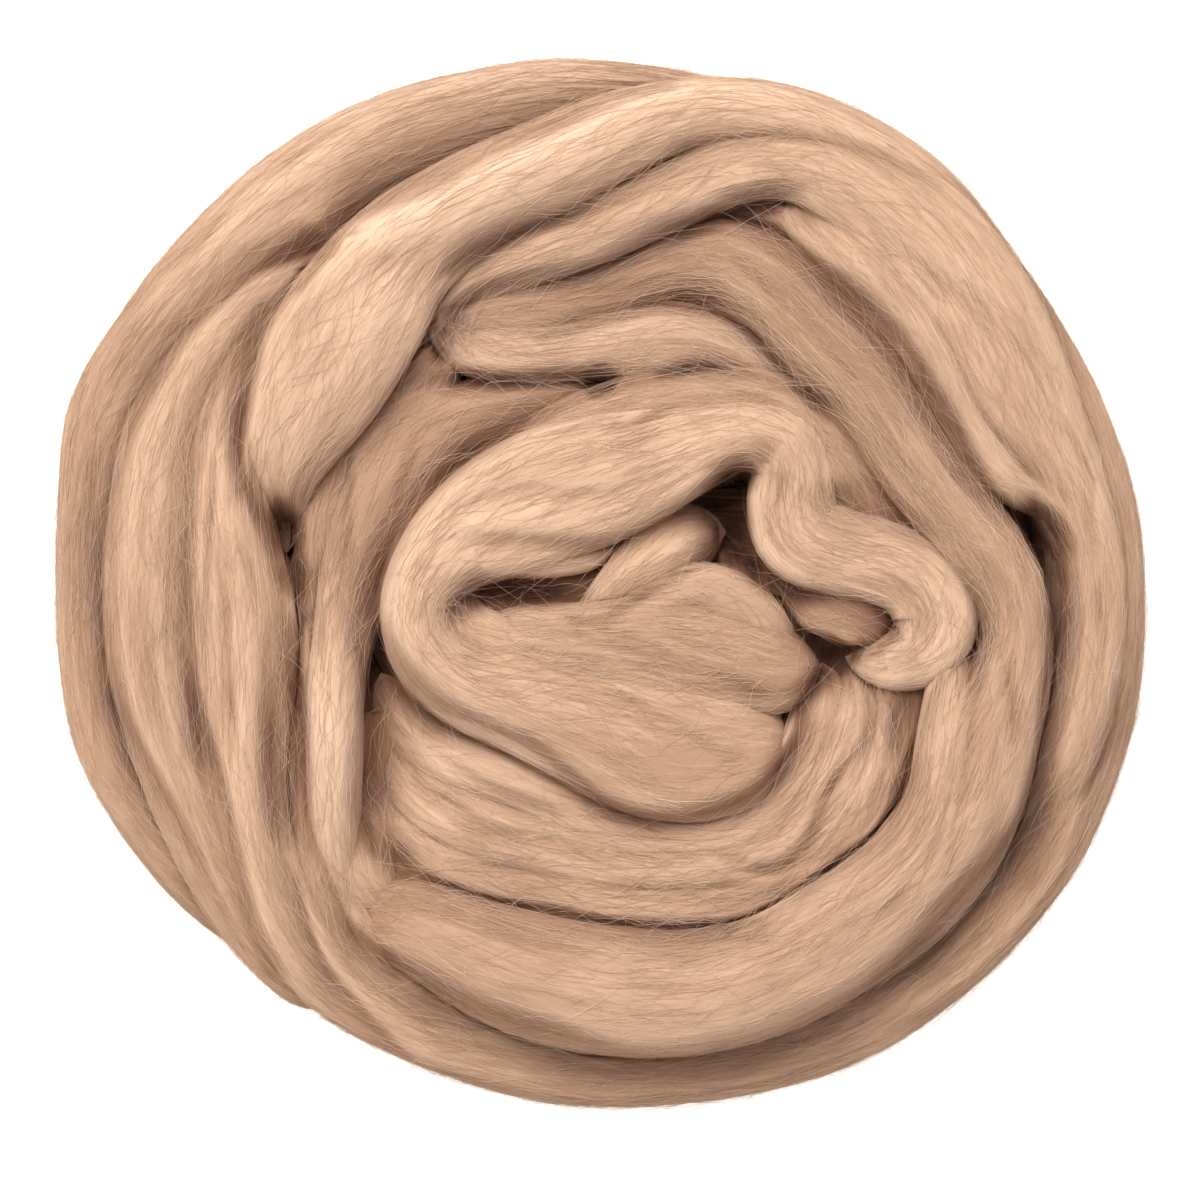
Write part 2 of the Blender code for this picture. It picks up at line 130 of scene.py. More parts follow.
def creases(*tables: tuple[tuple[float, ...], ...]) -> tuple[tuple[Fold, ...], ...]:
    """The folds of each crease, from its rows of x, y, depth and reach."""
    return tuple(tuple(Fold(*row) for row in filled(rows)) for rows in tables)


def hollows(*rows: tuple[float, ...]) -> tuple[Hollow, ...]:
    """The hollows, from rows of x, y, depth, both half-widths and turn."""
    return tuple(Hollow(*row) for row in rows)


# The long turn: down the left side, round the bottom and right edges, over the top, and
# down again into the nest at the left.
LONG_TURN = run(
    (-51, 58, 42, 7, 10), (-56, 52, 48, 10, 14), (-62, 43, 51, 12, 16), (-66.5, 31, 53, 13.5, 18),
    (-67.5, 18, 54, 15), (-66.5, 6, 55, 17, 20), (-65, -5, 55, 18.5), (-64.5, -17, 55, 18),
    (-64.5, -29, 54, 16), (-63, -41, 53, 14), (-60, -52, 51, 13.5), (-55.5, -62, 49),
    (-48.5, -70.5, 45, 15), (-37, -77.5, 42, 17, 22), (-22, -82.5, 40, 18), (-5, -86, 39),
    (12, -86), (30, -83.5), (45.5, -78, 40), (58.5, -69.5, 41), (69.7, -59.2, 42),
    (78.3, -47.7, 43), (84, -34.5, 44), (88.3, -19.5, 45), (90.5, -4, 46, 17.5),
    (89.5, 12, 46, 17), (84.5, 27.5, 47), (76.5, 43, 48), (67.5, 57, 50, 16), (57, 69.8, 53, 14.5),
    (44.5, 78.5, 55, 13.5), (31, 83.5, 57, 13.5, 20), (18, 84.3, 58.5), (4, 80.2, 60, 17),
    (-10, 74.4, 61.5, 17.5), (-23.7, 68, 62, 18), (-35.5, 59.3, 62, 21), (-43.8, 48, 62, 24.5),
    (-50.5, 36.5, 60, 23.5), (-56, 26, 55.5, 18, 18), (-58.2, 18.5, 50.5, 13.5, 16),
    (-58.2, 12, 43, 10, 12), (-57, 6, 36, 7, 10),
)

# The outermost turn at the upper left, which passes under the long turn at both ends.
OUTER_TURN = run(
    (52, 66, 36, 17, 20), (38, 76, 42, 18), (23, 83, 46), (8, 86.3, 48, 17.5, 22),
    (-8, 86, 49, 18), (-24, 82.5, 50, 19.5), (-39, 77, 50, 21.5), (-53, 68.5, 49.5, 22.5),
    (-66, 58, 48, 21), (-77.5, 45.5, 46, 20), (-87.5, 31, 44, 19), (-91, 16, 42.5, 17),
    (-92.2, 0, 41, 15.5), (-91.2, -15, 40.5), (-88, -29.5), (-80.7, -42), (-71.5, -53, 40, 15),
    (-60.5, -61.5, 37), (-48.5, -69.5, 33, 16, 20), (-34, -75.5, 28, 17),
)

# The turn that lies beside the long turn at the left.
LEFT_TURN = run(
    (-49, 60, 41, 7, 10), (-58, 55, 47, 10, 14), (-67.5, 47, 50, 13, 16), (-74, 37, 51.5, 15, 18),
    (-78.5, 26, 52, 16), (-80.5, 14, 52, 17), (-81.5, 0, 52, 17.5), (-80.8, -14),
    (-77.8, -28, 51, 16.5), (-73.5, -40, 50, 15), (-68.7, -51, 48, 14), (-62.5, -61, 45, 13.5),
    (-55.5, -69, 40, 13, 16), (-46.5, -75, 33, 12, 14),
)

# The inner turn: it starts in the nest at the right, doubles back at the upper left and
# runs right round the heart of the nest.
INNER_TURN = run(
    (42, 29, 40, 5, 8), (37, 33.5, 46, 7, 10), (30, 38.5, 51, 9.5, 12), (22, 43, 54, 11.5),
    (12, 44.8, 55, 12.5), (2, 43.5, 54, 11.5), (-8, 42, 52, 10.5), (-17, 41.8, 51),
    (-24, 43.2, 50, 10, 11), (-26.8, 47, 50, 9, 10), (-22.5, 50.3, 50.5, 10, 11),
    (-14, 50.8, 50.5, 11.5, 12), (-5, 52, 50, 13, 14), (5, 55, 51, 15, 16), (14, 57.8, 53, 17, 18),
    (23.5, 57.5, 56, 18.5), (32, 52.5, 58.5, 19, 20), (39.5, 45, 59.5), (46.5, 38, 60, 18.5),
    (53, 29.5, 60, 17.5), (59, 20.5, 60, 16.5), (66, 12, 60, 15.5), (72.3, 3, 59.5, 15),
    (74.8, -7, 58.5, 14), (73.5, -17, 58, 15.5), (70.3, -26, 57.5, 18.5), (67.5, -35, 57.5, 20.5),
    (64, -44, 57.5, 21), (57.5, -53), (49, -60.5, 57.5, 21.5), (38.5, -67, 57.5, 22),
    (26, -72, 57.5, 22.5), (11.5, -74, 57.5, 23), (-3.5, -72.5, 57.5, 22.5), (-16.5, -69, 56, 21),
    (-26.5, -64.8, 53, 18), (-33.5, -62, 49.5, 16.5, 18), (-39.3, -61, 44.6, 14.5, 15),
    (-44.5, -61.3, 38, 11, 11), (-48.5, -62.3, 33, 8, 8),
)

# The inner turn's inner edge, a fold that comes out from under the hook.
INNER_RIDGE = run(
    (63.5, -5, 43, 6, 8), (64.3, -13, 51, 9, 12), (63.5, -21, 55, 10.5, 14),
    (62.2, -29, 57.3, 11, 16), (61, -37, 58.5, 11.5, 18), (57.8, -45, 59, 12.5),
    (51.5, -52, 59, 13), (43, -58.5, 58.5), (33, -64.5, 57, 13, 16), (22, -68.5, 54, 11, 14),
    (12, -70, 50, 8, 12),
)

# Out of the nest at the upper left, along under the long turn, and down the right side.
RIGHT_TURN = run(
    (-32, 38, 40, 6, 8), (-30.5, 46, 47, 9, 12), (-25, 53.5, 52, 11, 14), (-14, 59, 55, 12.5),
    (-1, 63.5, 57, 13), (11, 69, 58, 13.5), (23, 74.5, 58, 14), (34, 76, 57.5, 15),
    (44, 72.5, 57.5, 18, 16), (54, 65.5, 57.5, 20.5, 18), (63, 56, 57.5, 21),
    (70.5, 44.5, 57, 20.5), (77, 31.5, 56, 18.5), (83.5, 18.5, 54, 15), (88.3, 7, 52.5, 12.5),
    (89.3, -4, 51.5), (88, -17, 51, 13.5), (84.8, -30, 49, 13.5, 16), (79.5, -41, 44, 12, 14),
    (74, -49.5, 38, 10, 12),
)

# The lock that splits from the right turn and dips into the nest beside it.
RIGHT_LOCK = run(
    (30, 73, 43, 6, 8), (37, 67.8, 49.5, 11, 12), (44, 60.5, 54, 14.5, 14), (52, 51.5, 56, 16, 16),
    (58.5, 42, 56, 14), (63.5, 32, 56, 12), (69, 24, 56, 11, 14), (75, 18.8, 54, 9.5, 12),
    (81, 15.5, 50, 8, 10), (86, 10.5, 45, 6.5, 8),
)

# The narrow turn that shows between the left side and the inner turn, and goes on round
# the bottom below the inner turn's edge.
LOW_TURN = run(
    (-55.5, -4, 42, 6, 8), (-55, -14, 45, 9, 12), (-54.6, -27, 46, 10.5, 14), (-54, -40),
    (-51.8, -52, 46, 11.5), (-46, -64.5, 44.5, 14), (-37, -73, 43, 15), (-25, -78.5, 41, 16, 16),
    (-10, -81.5, 39), (7, -82, 38), (25, -79.5, 35), (41, -73.5, 34), (55, -64.5, 35),
    (66, -54.5, 36), (74.5, -44, 37, 15), (80, -32, 39, 13, 14),
)

# From under the heart, out to the left and down, where it ends over the inner turn's tip.
TUCKED_TURN = run(
    (12, 36.5, 44, 7, 8), (3, 35.5, 46, 8, 10), (-8, 33.5, 47, 11, 12),
    (-18, 31.5, 47.5, 13.5, 14), (-27, 28, 48, 15), (-34.5, 22, 49, 17, 16), (-40, 13, 49, 17.5),
    (-43.5, 3, 48.5, 15.5), (-46, -7, 49.5, 12.5, 14), (-47.6, -18, 51, 11), (-48, -29, 51.8),
    (-48, -38.5, 50.5, 10.3, 12), (-47.7, -46, 48, 8.8, 11), (-46.8, -52, 44.5, 6.5, 9),
    (-45, -57, 40, 4.5, 7),
)

# The heart: an arm that loops round at the left and ends in a broad fan, and the hook
# that it folds down into at the right.
HEART_ARM = run(
    (44.5, -13, 42, 5, 8), (48.5, -14, 47.5, 7.5, 10), (52.5, -14, 51.5, 10, 12),
    (57.5, -12.2, 54, 13, 14), (60.6, -6, 56, 16, 16), (57.2, 0.6, 56.5, 16.5),
    (50.5, 3.9, 56.5, 16), (43, 5.8), (36.3, 8.8, 57, 17.5), (34, 15, 57, 15.8),
    (34.6, 20.8, 57.3, 14.5), (31.6, 25.7, 58, 14.5, 17), (25.3, 27.4, 58.5, 14.5, 18),
    (17.5, 25.3, 58.5, 17.5), (8, 21.8, 58, 22), (-1, 18.3, 58, 24.5), (-11, 15, 58, 25),
    (-20, 10.8, 58, 22.5), (-28, 5, 58, 17.5), (-33, -3, 58, 13.5), (-31.5, -11.5, 58, 14),
    (-24.5, -17.5, 58, 16.5), (-14, -20.3, 58, 21), (-4, -23, 57.5, 26), (6, -25.8, 57, 31),
    (16, -28, 56), (24.5, -28.5, 54, 26, 16), (30.5, -28, 50.3, 19, 13), (35, -27.3, 43, 11, 9),
)
HEART_FAN = run(
    (-22, -8, 52, 8, 12), (-12, -9.5, 55.5, 12, 16), (-1, -10.5, 57, 16, 17), (9, -11, 57, 20),
    (18.5, -12.8, 56.3, 22.5), (26, -13.8, 55, 20, 15), (32, -15, 52.5, 17, 13),
    (37, -15, 48.5, 13, 11), (40.3, -14.6, 42, 8, 8),
)
HEART_BROW = run(
    (-5, -7, 47, 5, 8), (3, -4.5, 51, 7.5, 12), (11, -2.6, 53.5, 9.5), (19, -1.8, 54.2, 11.5),
    (26.5, -4.5, 53.2, 10.5), (32, -9.5, 50, 7.5, 10), (35, -13.5, 44, 5, 8),
)
HEART_SHOULDER = run(
    (-17, 24.5, 46, 6, 8), (-8, 28.6, 51, 9, 10), (3, 32, 53, 10.5, 12), (15, 33.8, 55, 11.5),
    (27, 33.2), (37, 29.5, 54.5, 13), (43.5, 23.5, 54, 15), (48.5, 17, 52.5, 15.5),
    (53.5, 10.5, 50, 13), (59, 4, 46, 10, 10),
)
HEART_TONGUE = run(
    (33, 0, 42, 6, 8), (38, -3.2, 48.5, 9, 10), (44.5, -5, 51.5, 11, 12), (49.5, -7.6, 50, 9, 10),
    (52.5, -11.5, 43, 6, 8),
)
HEART_TUFT = run(
    (23, 9.6, 38, 9, 9), (18.8, 9.4, 46, 13, 12), (14, 7.8, 51.5, 14), (9, 4.8, 53, 12),
    (4, 1.2, 52.8, 8.5), (-1, -3, 51, 4.8, 10), (-5, -6.6, 46, 4.5, 8),
)
HEART_LIP = run(
    (-29.5, -2, 46, 7, 8), (-26, 3, 51.5, 8, 10), (-19, 4.5, 53.2, 7), (-11, 4.2, 53.2, 6.5),
    (-3, 5.2, 52), (4, 8.5, 48, 6, 8),
)
HEART_FOLD = run(
    (-21, 4, 46, 6, 8), (-25.5, -0.5, 50.5, 7.5, 10), (-25, -6, 53, 9, 12), (-19.5, -9.5, 54, 10),
    (-12, -11, 54, 9), (-4, -12, 50, 7, 10),
)

# Three locks of the turn that cradles the heart from below.
CRADLE_INNER = run(
    (-40, -16, 36, 6, 8), (-36, -24, 42, 9, 10), (-28.5, -30, 46, 11, 12), (-17, -34.5, 47.5, 12),
    (-5, -39), (6, -43), (16, -44.5), (25.5, -42.5), (33, -37), (38, -29.5), (40.3, -21, 46, 11.5),
    (40.3, -14, 40.5, 7.5, 8),
)
CRADLE_MIDDLE = run(
    (-40, -25, 36, 6, 8), (-36.5, -33, 42, 9, 12), (-29, -39.5, 46, 11), (-18, -44, 47.5, 11.5),
    (-5, -47.5), (8, -50), (20, -50), (31, -46.3), (39.5, -39), (44.5, -30), (46, -21.5, 46, 10),
    (45, -15, 40, 6, 8),
)
CRADLE_OUTER = run(
    (-41, -35, 34, 6, 8), (-37, -43, 40, 9, 10), (-30, -49, 43, 11, 12), (-19, -53, 45, 12.5),
    (-6, -55.8, 46, 13.5), (8, -57.5, 46, 14), (22, -57), (34.5, -53, 46, 13),
    (43.7, -45.8, 46.5, 12.5), (49.3, -37, 46.5, 11.5), (51.8, -28, 45.5, 10.5), (53, -20, 43, 9),
    (53.5, -13, 39, 7, 10),
)

# Low turns that close the nest between the visible ones.
LOW_HEART = run(
    (-30, 4, 42, 10, 14), (-20, -1, 45, 12), (-6, -1, 45, 13), (8, 4, 42, 15), (20, 10, 35, 18),
    (31, 8), (39, 5, 42, 19), (46, 2, 43, 20), (54, -10, 45, 18), (56, -23, 46, 15),
    (53.5, -36, 46, 12, 12), (46, -48, 45), (34, -57, 46, 11), (18, -62, 46.5, 10), (2, -62, 46),
    (-14, -60, 45), (-28, -55, 43), (-38, -48, 41), (-41, -36, 41, 9), (-40.5, -22, 42, 8),
)
LOW_LEFT = run(
    (-28, 43.5, 46, 9, 10), (-31.5, 38, 49, 12, 12), (-42.5, 28, 48, 14, 14), (-49.5, 14, 44, 12),
    (-51.5, 1, 42, 11), (-52, -14, 42, 12, 13), (-50, -30, 42, 12, 14), (-44.5, -43, 44, 12, 12),
    (-42, -53), (-37, -60, 40, 9, 10),
)
LOW_POCKET = run(
    (6, 62, 42, 10, 10), (17, 66, 46, 12, 12), (28, 68, 47, 13), (38, 64, 46, 12),
    (46, 56, 43, 10, 10),
)

# Creases that show on the wound nest, each with its higher wool to the left as it runs.
# The outer turn against the long turn, and down the left side.
OUTER_CREASES = creases((
    (12, 89.8, 1.4, 5), (3, 88, 3.6, 7), (-8, 84, 5.1, 9), (-20, 79.5, 5.6, 10), (-30, 74, 6.1),
    (-40, 69, 6.1, 8), (-45, 65.5, 5.6, 6), (-49, 59, 4.3, 4),
), (
    (-47, 61.5, 5.6, 4), (-52, 60, 6.6, 5), (-58, 58.3, 5.1), (-63, 56.3, 4.3),
    (-68.5, 52, 4.3, 6), (-73, 48, 4.6), (-77, 43.5, 5.1), (-80.5, 37.5), (-83.5, 31, 4.6, 5),
    (-85.5, 25, 4.3), (-87.5, 16, 4, 7), (-88.7, 6, 4.6), (-88.8, -4, 4.8), (-88.3, -13, 5, 6),
    (-86.3, -22, 5.6, 5), (-84, -28, 5.8), (-80.5, -35.5, 5.8, 6), (-77, -42, 5.6, 7),
    (-73, -49.5, 5.2), (-69.5, -57, 4.3), (-65.5, -64, 3.6, 6), (-61, -70, 2.2, 5),
), (
    (-90, 46, 0.6, 3), (-93.5, 36, 1.3), (-95.5, 24, 1.4), (-96, 8, 1.6), (-96, -8),
    (-94.5, -22, 1.3), (-91, -33, 0.6),
), (
    (-36, 85, 0.4, 4), (-48, 80.5, 1.2), (-60, 72.5, 1.3), (-72, 61, 1.2), (-82, 50),
    (-88, 40, 0.6),
), (
    (-28, 80, 0.4, 4), (-40, 75.5, 1.4), (-52, 70, 1.6), (-64, 61.5, 1.3), (-73, 54, 0.6),
))

# The long turn's edge against the left turns, and the folds within them.
LEFT_CREASES = creases((
    (-48.5, 60, 6.1, 3.5), (-53, 54.8, 5.6, 4), (-57, 51.3, 4.3), (-61, 46, 4.3, 5),
    (-63, 39, 5.1), (-64.5, 31, 5.6, 4), (-64.8, 24, 5.1, 3), (-63.5, 17, 3.6),
), (
    (-51.5, 3, 0.7, 4), (-54.5, -1, 4.3, 3), (-57, 4, 5.6), (-60, 9.5), (-63, 15.5, 5.1),
    (-64.5, 21, 3.6), (-65.3, 29, 1.4, 2),
), (
    (-60.5, 51, 0.9, 4), (-65, 44, 2.3), (-69, 35, 2.9), (-71.5, 26, 2.9, 4.5),
    (-73.3, 15, 2.6, 5), (-74.3, 3), (-74.5, -9, 2.9), (-73.5, -17, 3.5, 4), (-71.8, -24, 4.3),
    (-69.7, -32, 4.6, 5), (-67.7, -40, 4.9), (-65.7, -48), (-63.8, -56, 4.6), (-61.5, -63, 4.3),
    (-58.5, -69, 3.8), (-55, -74.5, 1.7, 4),
), (
    (-69, 33, 0.4, 2), (-68.7, 22, 1.4), (-69.8, 10), (-70.5, -2, 1.7), (-70.3, -14, 1.2),
    (-70, -22, 0.4),
), (
    (-78.5, 22, 0.4, 3), (-79.5, 8, 1.3), (-79.8, -8, 1.4), (-78.5, -22, 1.3), (-75, -36, 1.4),
    (-71.5, -46, 1.2), (-68, -55, 0.4),
), (
    (-66.3, 6, 0.4, 2), (-66.8, -8, 1.6, 2.5), (-66, -18, 1.9), (-65, -30, 1.3),
    (-63.5, -42, 0.4, 2),
), (
    (-57, -47, 0.9, 4), (-55.3, -54, 2.6), (-53.3, -61, 3.8), (-50.8, -67.5, 4.3),
    (-47.5, -73, 4.6, 5), (-43, -78), (-38, -83, 3.5), (-34, -86.5, 1.2, 4),
), (
    (-56.5, -50, 0.9, 4), (-57.8, -45, 2.9, 5), (-58.8, -38, 4.1), (-59.2, -29), (-59.4, -20, 2.9),
    (-59, -10, 1.2, 4),
), (
    (-53.8, -4, 1.4, 3), (-54.6, -13, 4.1), (-54.4, -20, 5, 3.5), (-53.6, -27, 4, 4),
    (-53, -34, 3.5), (-52.8, -40, 2.6), (-52, -46, 2.2, 3), (-50, -51.5, 2.6),
    (-47.5, -57, 3.6, 3.5), (-45.3, -62, 4.6), (-42, -67, 4.8, 4), (-38, -70.5, 3.6),
), (
    (-37, -50.5, 4.6, 5), (-41, -47.5, 4.6, 6), (-42.3, -41, 4.6, 7), (-41.3, -34, 4.6, 8),
    (-40.8, -27, 4.8), (-41.3, -20, 4.8, 7), (-42.8, -13, 4, 5), (-44.5, -7, 2.6, 4),
    (-47, -2, 1.4, 3),
), (
    (-45.5, 26, 0.4, 3), (-45, 14, 1.4), (-45.5, 3, 1.7), (-47, -8, 0.7),
), (
    (-41.5, 3, 1.4, 3), (-38.5, 10, 2.3), (-35.5, 18), (-33.5, 26, 1.2),
))

# Under the long turn at the top, and round the turns inside it.
TOP_CREASES = creases((
    (-29, 55, 1, 3), (-27, 57, 2.5), (-23.5, 59.7, 3.6, 4), (-18.5, 62.2), (-12, 64.7, 3.4),
    (-5, 66.5, 3), (2, 69.5, 1.8), (9, 73.7, 1.4), (16, 77.5, 1.3), (23, 79.7, 1.3, 3.5),
    (31, 80.4, 1.4, 3), (40, 79.8), (48, 78), (55, 75, 1.2), (61, 71, 0.5),
), (
    (-29.5, 42.5, 3, 3), (-27.5, 47.5, 3, 4), (-24, 51.2), (-19, 53.6, 3, 5), (-13, 54.8, 2.6, 6),
    (-6, 55.6, 2.2, 7), (0, 57, 2.4), (6, 60.2, 2.6, 6), (12, 63.2, 3.4, 5), (18, 65.6, 4.5, 4),
    (24, 68, 3),
), (
    (19, 66.4, 3, 2), (25, 66.3, 4, 3), (30, 64.2, 4, 4), (34.5, 60.8, 3.8), (39, 57.2, 5, 5),
    (43.5, 53.3, 6, 6), (48, 49.6, 6.3), (52, 45.3, 6.2), (55.5, 40.8, 6), (58.5, 36, 6.4),
    (61.5, 31), (64.5, 26.3, 5.6, 5), (67, 21, 5), (70, 16.5, 4.6, 4), (74, 13, 4.4, 3),
    (78, 11.5, 4),
), (
    (43, 68, 0.2, 4), (53, 60.5, 0.7), (63, 54, 1.2), (69, 49.3, 1.4), (74, 43.5, 1.2), (78, 37),
    (81, 31), (85, 25.5, 1.4, 3), (87.7, 20), (88.3, 13, 0.8), (88.3, 6, 0.3),
), (
    (84, 14.5, 0.8, 2.5), (79, 18.7, 1.8), (74, 23.7, 2), (69.5, 29, 1.8), (66, 36.5, 1.2, 3),
    (62, 45, 1), (57, 52, 0.3),
), (
    (34.5, 72, 0.4, 2), (37, 67, 1, 2.5), (40, 61.5, 0.8), (45, 56.5, 0.3),
), (
    (22.5, 62, 0.4, 3), (26.5, 57.5, 1.4, 3.5), (31.5, 51.5, 1.6, 4), (38, 45.5, 1.5), (45, 38),
    (50, 30, 1.8, 5), (55, 21, 2), (61, 11, 1.6), (66, 1, 0.6, 4),
), (
    (61, -20, 1.2, 5), (65, -17.2, 1.4, 4), (67.6, -13, 1.8), (68.7, -8, 2.6, 3.5),
    (68.2, -3.5, 3), (66, 1, 2.6), (62.5, 6.8, 1.6, 3),
), (
    (40, 32.5, 4.5, 3.5), (43.5, 29.5, 3.6, 4), (46.5, 25.5, 2.6), (49, 21.5, 2.4, 5), (52, 17, 3),
    (55.5, 13.2, 3.2, 4), (59.5, 10.2, 3), (63, 6, 1.6),
), (
    (41, 31.8, 4, 4), (37, 35), (33, 38.5, 3), (29.5, 42.5), (26, 46.3, 3.6, 5), (21.5, 49.2, 4.4),
    (16, 50.5, 4.6), (9.5, 50.2, 3.4), (2.5, 48.7, 2.6, 6), (-4, 46.3, 2, 5), (-10, 44.6, 1.2, 4),
    (-15, 46, 0.3),
), (
    (-4, 38.5, 2, 2), (3, 36.3, 1.6, 3), (8, 36.3, 1.8), (13, 37.9, 2.8), (18.5, 39.2, 3, 3.5),
    (24, 38, 2.4, 3), (30, 36.5, 2), (36, 34.8, 2.5),
), (
    (-34, 36.8, 0.8, 2.5), (-29, 37.4, 2.6), (-22, 37.2, 4.6), (-15, 37.3, 4), (-9, 37.8, 3),
    (-4, 38), (0, 38.3, 3, 2),
), (
    (-33, 27.5, 0.8, 3), (-25, 30.8, 1), (-16, 33, 0.8), (-8, 34.4, 0.4),
))

# The heart's outline, then the soft folds along the arm, the fan and the hook.
HEART_CREASES = creases((
    (2, 34.5, 0.8, 2), (-5, 32.8, 1.8, 3), (-12, 30, 2.8, 4), (-18, 26.7, 4, 4.5),
    (-24, 22.8, 4.4), (-30, 17.6, 3.8, 4), (-34.6, 12, 3.4), (-38, 6, 3.8), (-40, 0, 5, 5),
    (-40.3, -6, 5.6), (-38, -12, 5.8, 6), (-34.5, -17.5, 6, 7), (-30, -21.5, 5.4),
    (-24.5, -23.8, 4, 5), (-18, -26.2, 3, 4), (-12, -28.8), (-7, -32.5, 3.2), (-2.5, -36.7, 4),
    (2, -40, 4.6), (8, -42.2, 4), (14, -42.3, 3), (20, -40.8, 3.2, 3.5), (26.5, -38.3, 4),
    (31, -34.8, 5, 4), (34.5, -30.5, 5.6), (36.3, -26, 5.2), (36.3, -21.5, 5), (39, -17.5, 5, 3.5),
    (42, -14, 5, 3),
), (
    (-25, 14, 0.3, 3), (-20, 15.7, 1.2), (-14, 16.9, 1.3), (-6, 16.7, 1), (3, 17, 0.9),
    (11, 20, 0.3),
), (
    (-27, 9, 0.4, 3), (-20, 8.2, 1.8, 3.5), (-10, 7.6, 2), (0, 7.2), (7, 9.2, 2.2),
    (13, 12.6, 2.6, 3), (18.5, 16.5, 3),
), (
    (0, 27.5, 0.3, 3), (5, 28, 1.6), (9.5, 30, 1.4), (14, 33, 0.4),
), (
    (32, -22.5, 1.4, 4), (25, -20.5, 1.3, 5), (17, -16.5, 1.4, 6), (10, -12.5, 1.6),
    (3, -8.8, 1.8, 5), (-4, -6.8, 1.5, 3),
), (
    (-14, -14.5, 0.3, 4), (-3, -17, 0.8), (8, -22, 1, 5), (17, -28, 0.9), (25, -34, 0.4, 4),
), (
    (23, 4.5, 1.6, 3), (17.5, 3, 2.4), (12, 0, 2.6), (6.5, -3.2), (1, -6.5, 2.2), (-4, -7.4, 1.4),
), (
    (29.5, 22.5, 2, 3), (26.5, 19, 3), (25.7, 14, 4), (25.8, 8), (28.5, 3), (33, 0, 3.5),
    (38.5, -1.8, 2), (44, -2.6, 1.6, 4), (50, -4.3, 2), (52.6, -7.2, 2.4, 3.5), (52, -10, 2.2, 3),
    (49.5, -12.6, 1.5, 2),
), (
    (47, 1, 0.3, 3), (53, 0.5, 1), (58, -3), (59.5, -8, 0.6),
))

# The turn that cradles the heart.
CRADLE_CREASES = creases((
    (-36, -25, 1, 3), (-35.3, -31, 2.2, 3.5), (-32, -36.3, 2.6), (-26.5, -39.7, 2.4),
    (-21.5, -43.3), (-16, -45, 2, 3), (-8, -46.3, 1.6), (-1, -48), (6, -48.7, 1.3), (13, -48.3, 1),
    (20, -46.5, 0.5),
), (
    (-30, -30.5, 0.6, 2.5), (-25, -33.4, 1.6), (-20, -36.2, 1.9), (-13.5, -38.7, 1.8),
    (-8, -40.4, 1.4), (-2, -41.8, 1),
), (
    (24, -48.8, 0.8, 2), (28, -50.8, 1.8, 2.5), (33, -50.4, 2), (37, -47, 2, 3), (39.3, -42, 2.2),
    (41.8, -36.5), (45, -32.3), (48, -28, 2.4), (48.8, -23, 2), (48, -18.5, 1.2),
), (
    (-27, -50, 0.5, 4), (-19, -51.5, 1.2, 5), (-10, -53.7, 1.4), (0, -55.3, 1.5), (12, -55.4),
    (24, -55, 1.6), (33, -54.3, 1.4, 4), (39, -51.5, 0.6),
), (
    (46.5, -45.8, 0.3, 3), (49.5, -39, 1), (51.5, -31, 1.1), (52.5, -23, 0.8),
), (
    (-38.5, -47, 4.5, 5), (-35, -51.3), (-30, -53.8, 3.4, 4), (-24, -55.8, 3.2),
    (-17.5, -57.6, 3.2, 4.5), (-10, -58.8, 3.4, 5), (-3, -60.4, 4), (4, -61.6, 4.4),
    (11, -62.5, 4.6, 6), (19, -62.5), (26.5, -61.3, 4.2, 5), (32, -59, 3.4), (37, -55.5, 3),
    (41.5, -51.8), (46.5, -48.5, 3.4), (51, -45.6, 3.8, 6), (54, -41, 4.4, 7), (55.5, -35, 4.6),
    (56.8, -28, 4), (59, -22, 3, 6), (62, -17, 1.5, 4),
))

FAN_CREASES = creases((
    (-8, -8.8, 0.4, 4), (2, -10.8, 1.5, 5), (12, -13.2, 2.2, 6), (22, -16.6, 2.4),
    (29, -20, 2.4, 5), (34.5, -22.6, 2.6, 4),
), (
    (-12, -14, 0.3, 3), (0, -18, 0.8, 4), (12, -24, 0.9), (22, -30), (28, -35, 0.4),
))

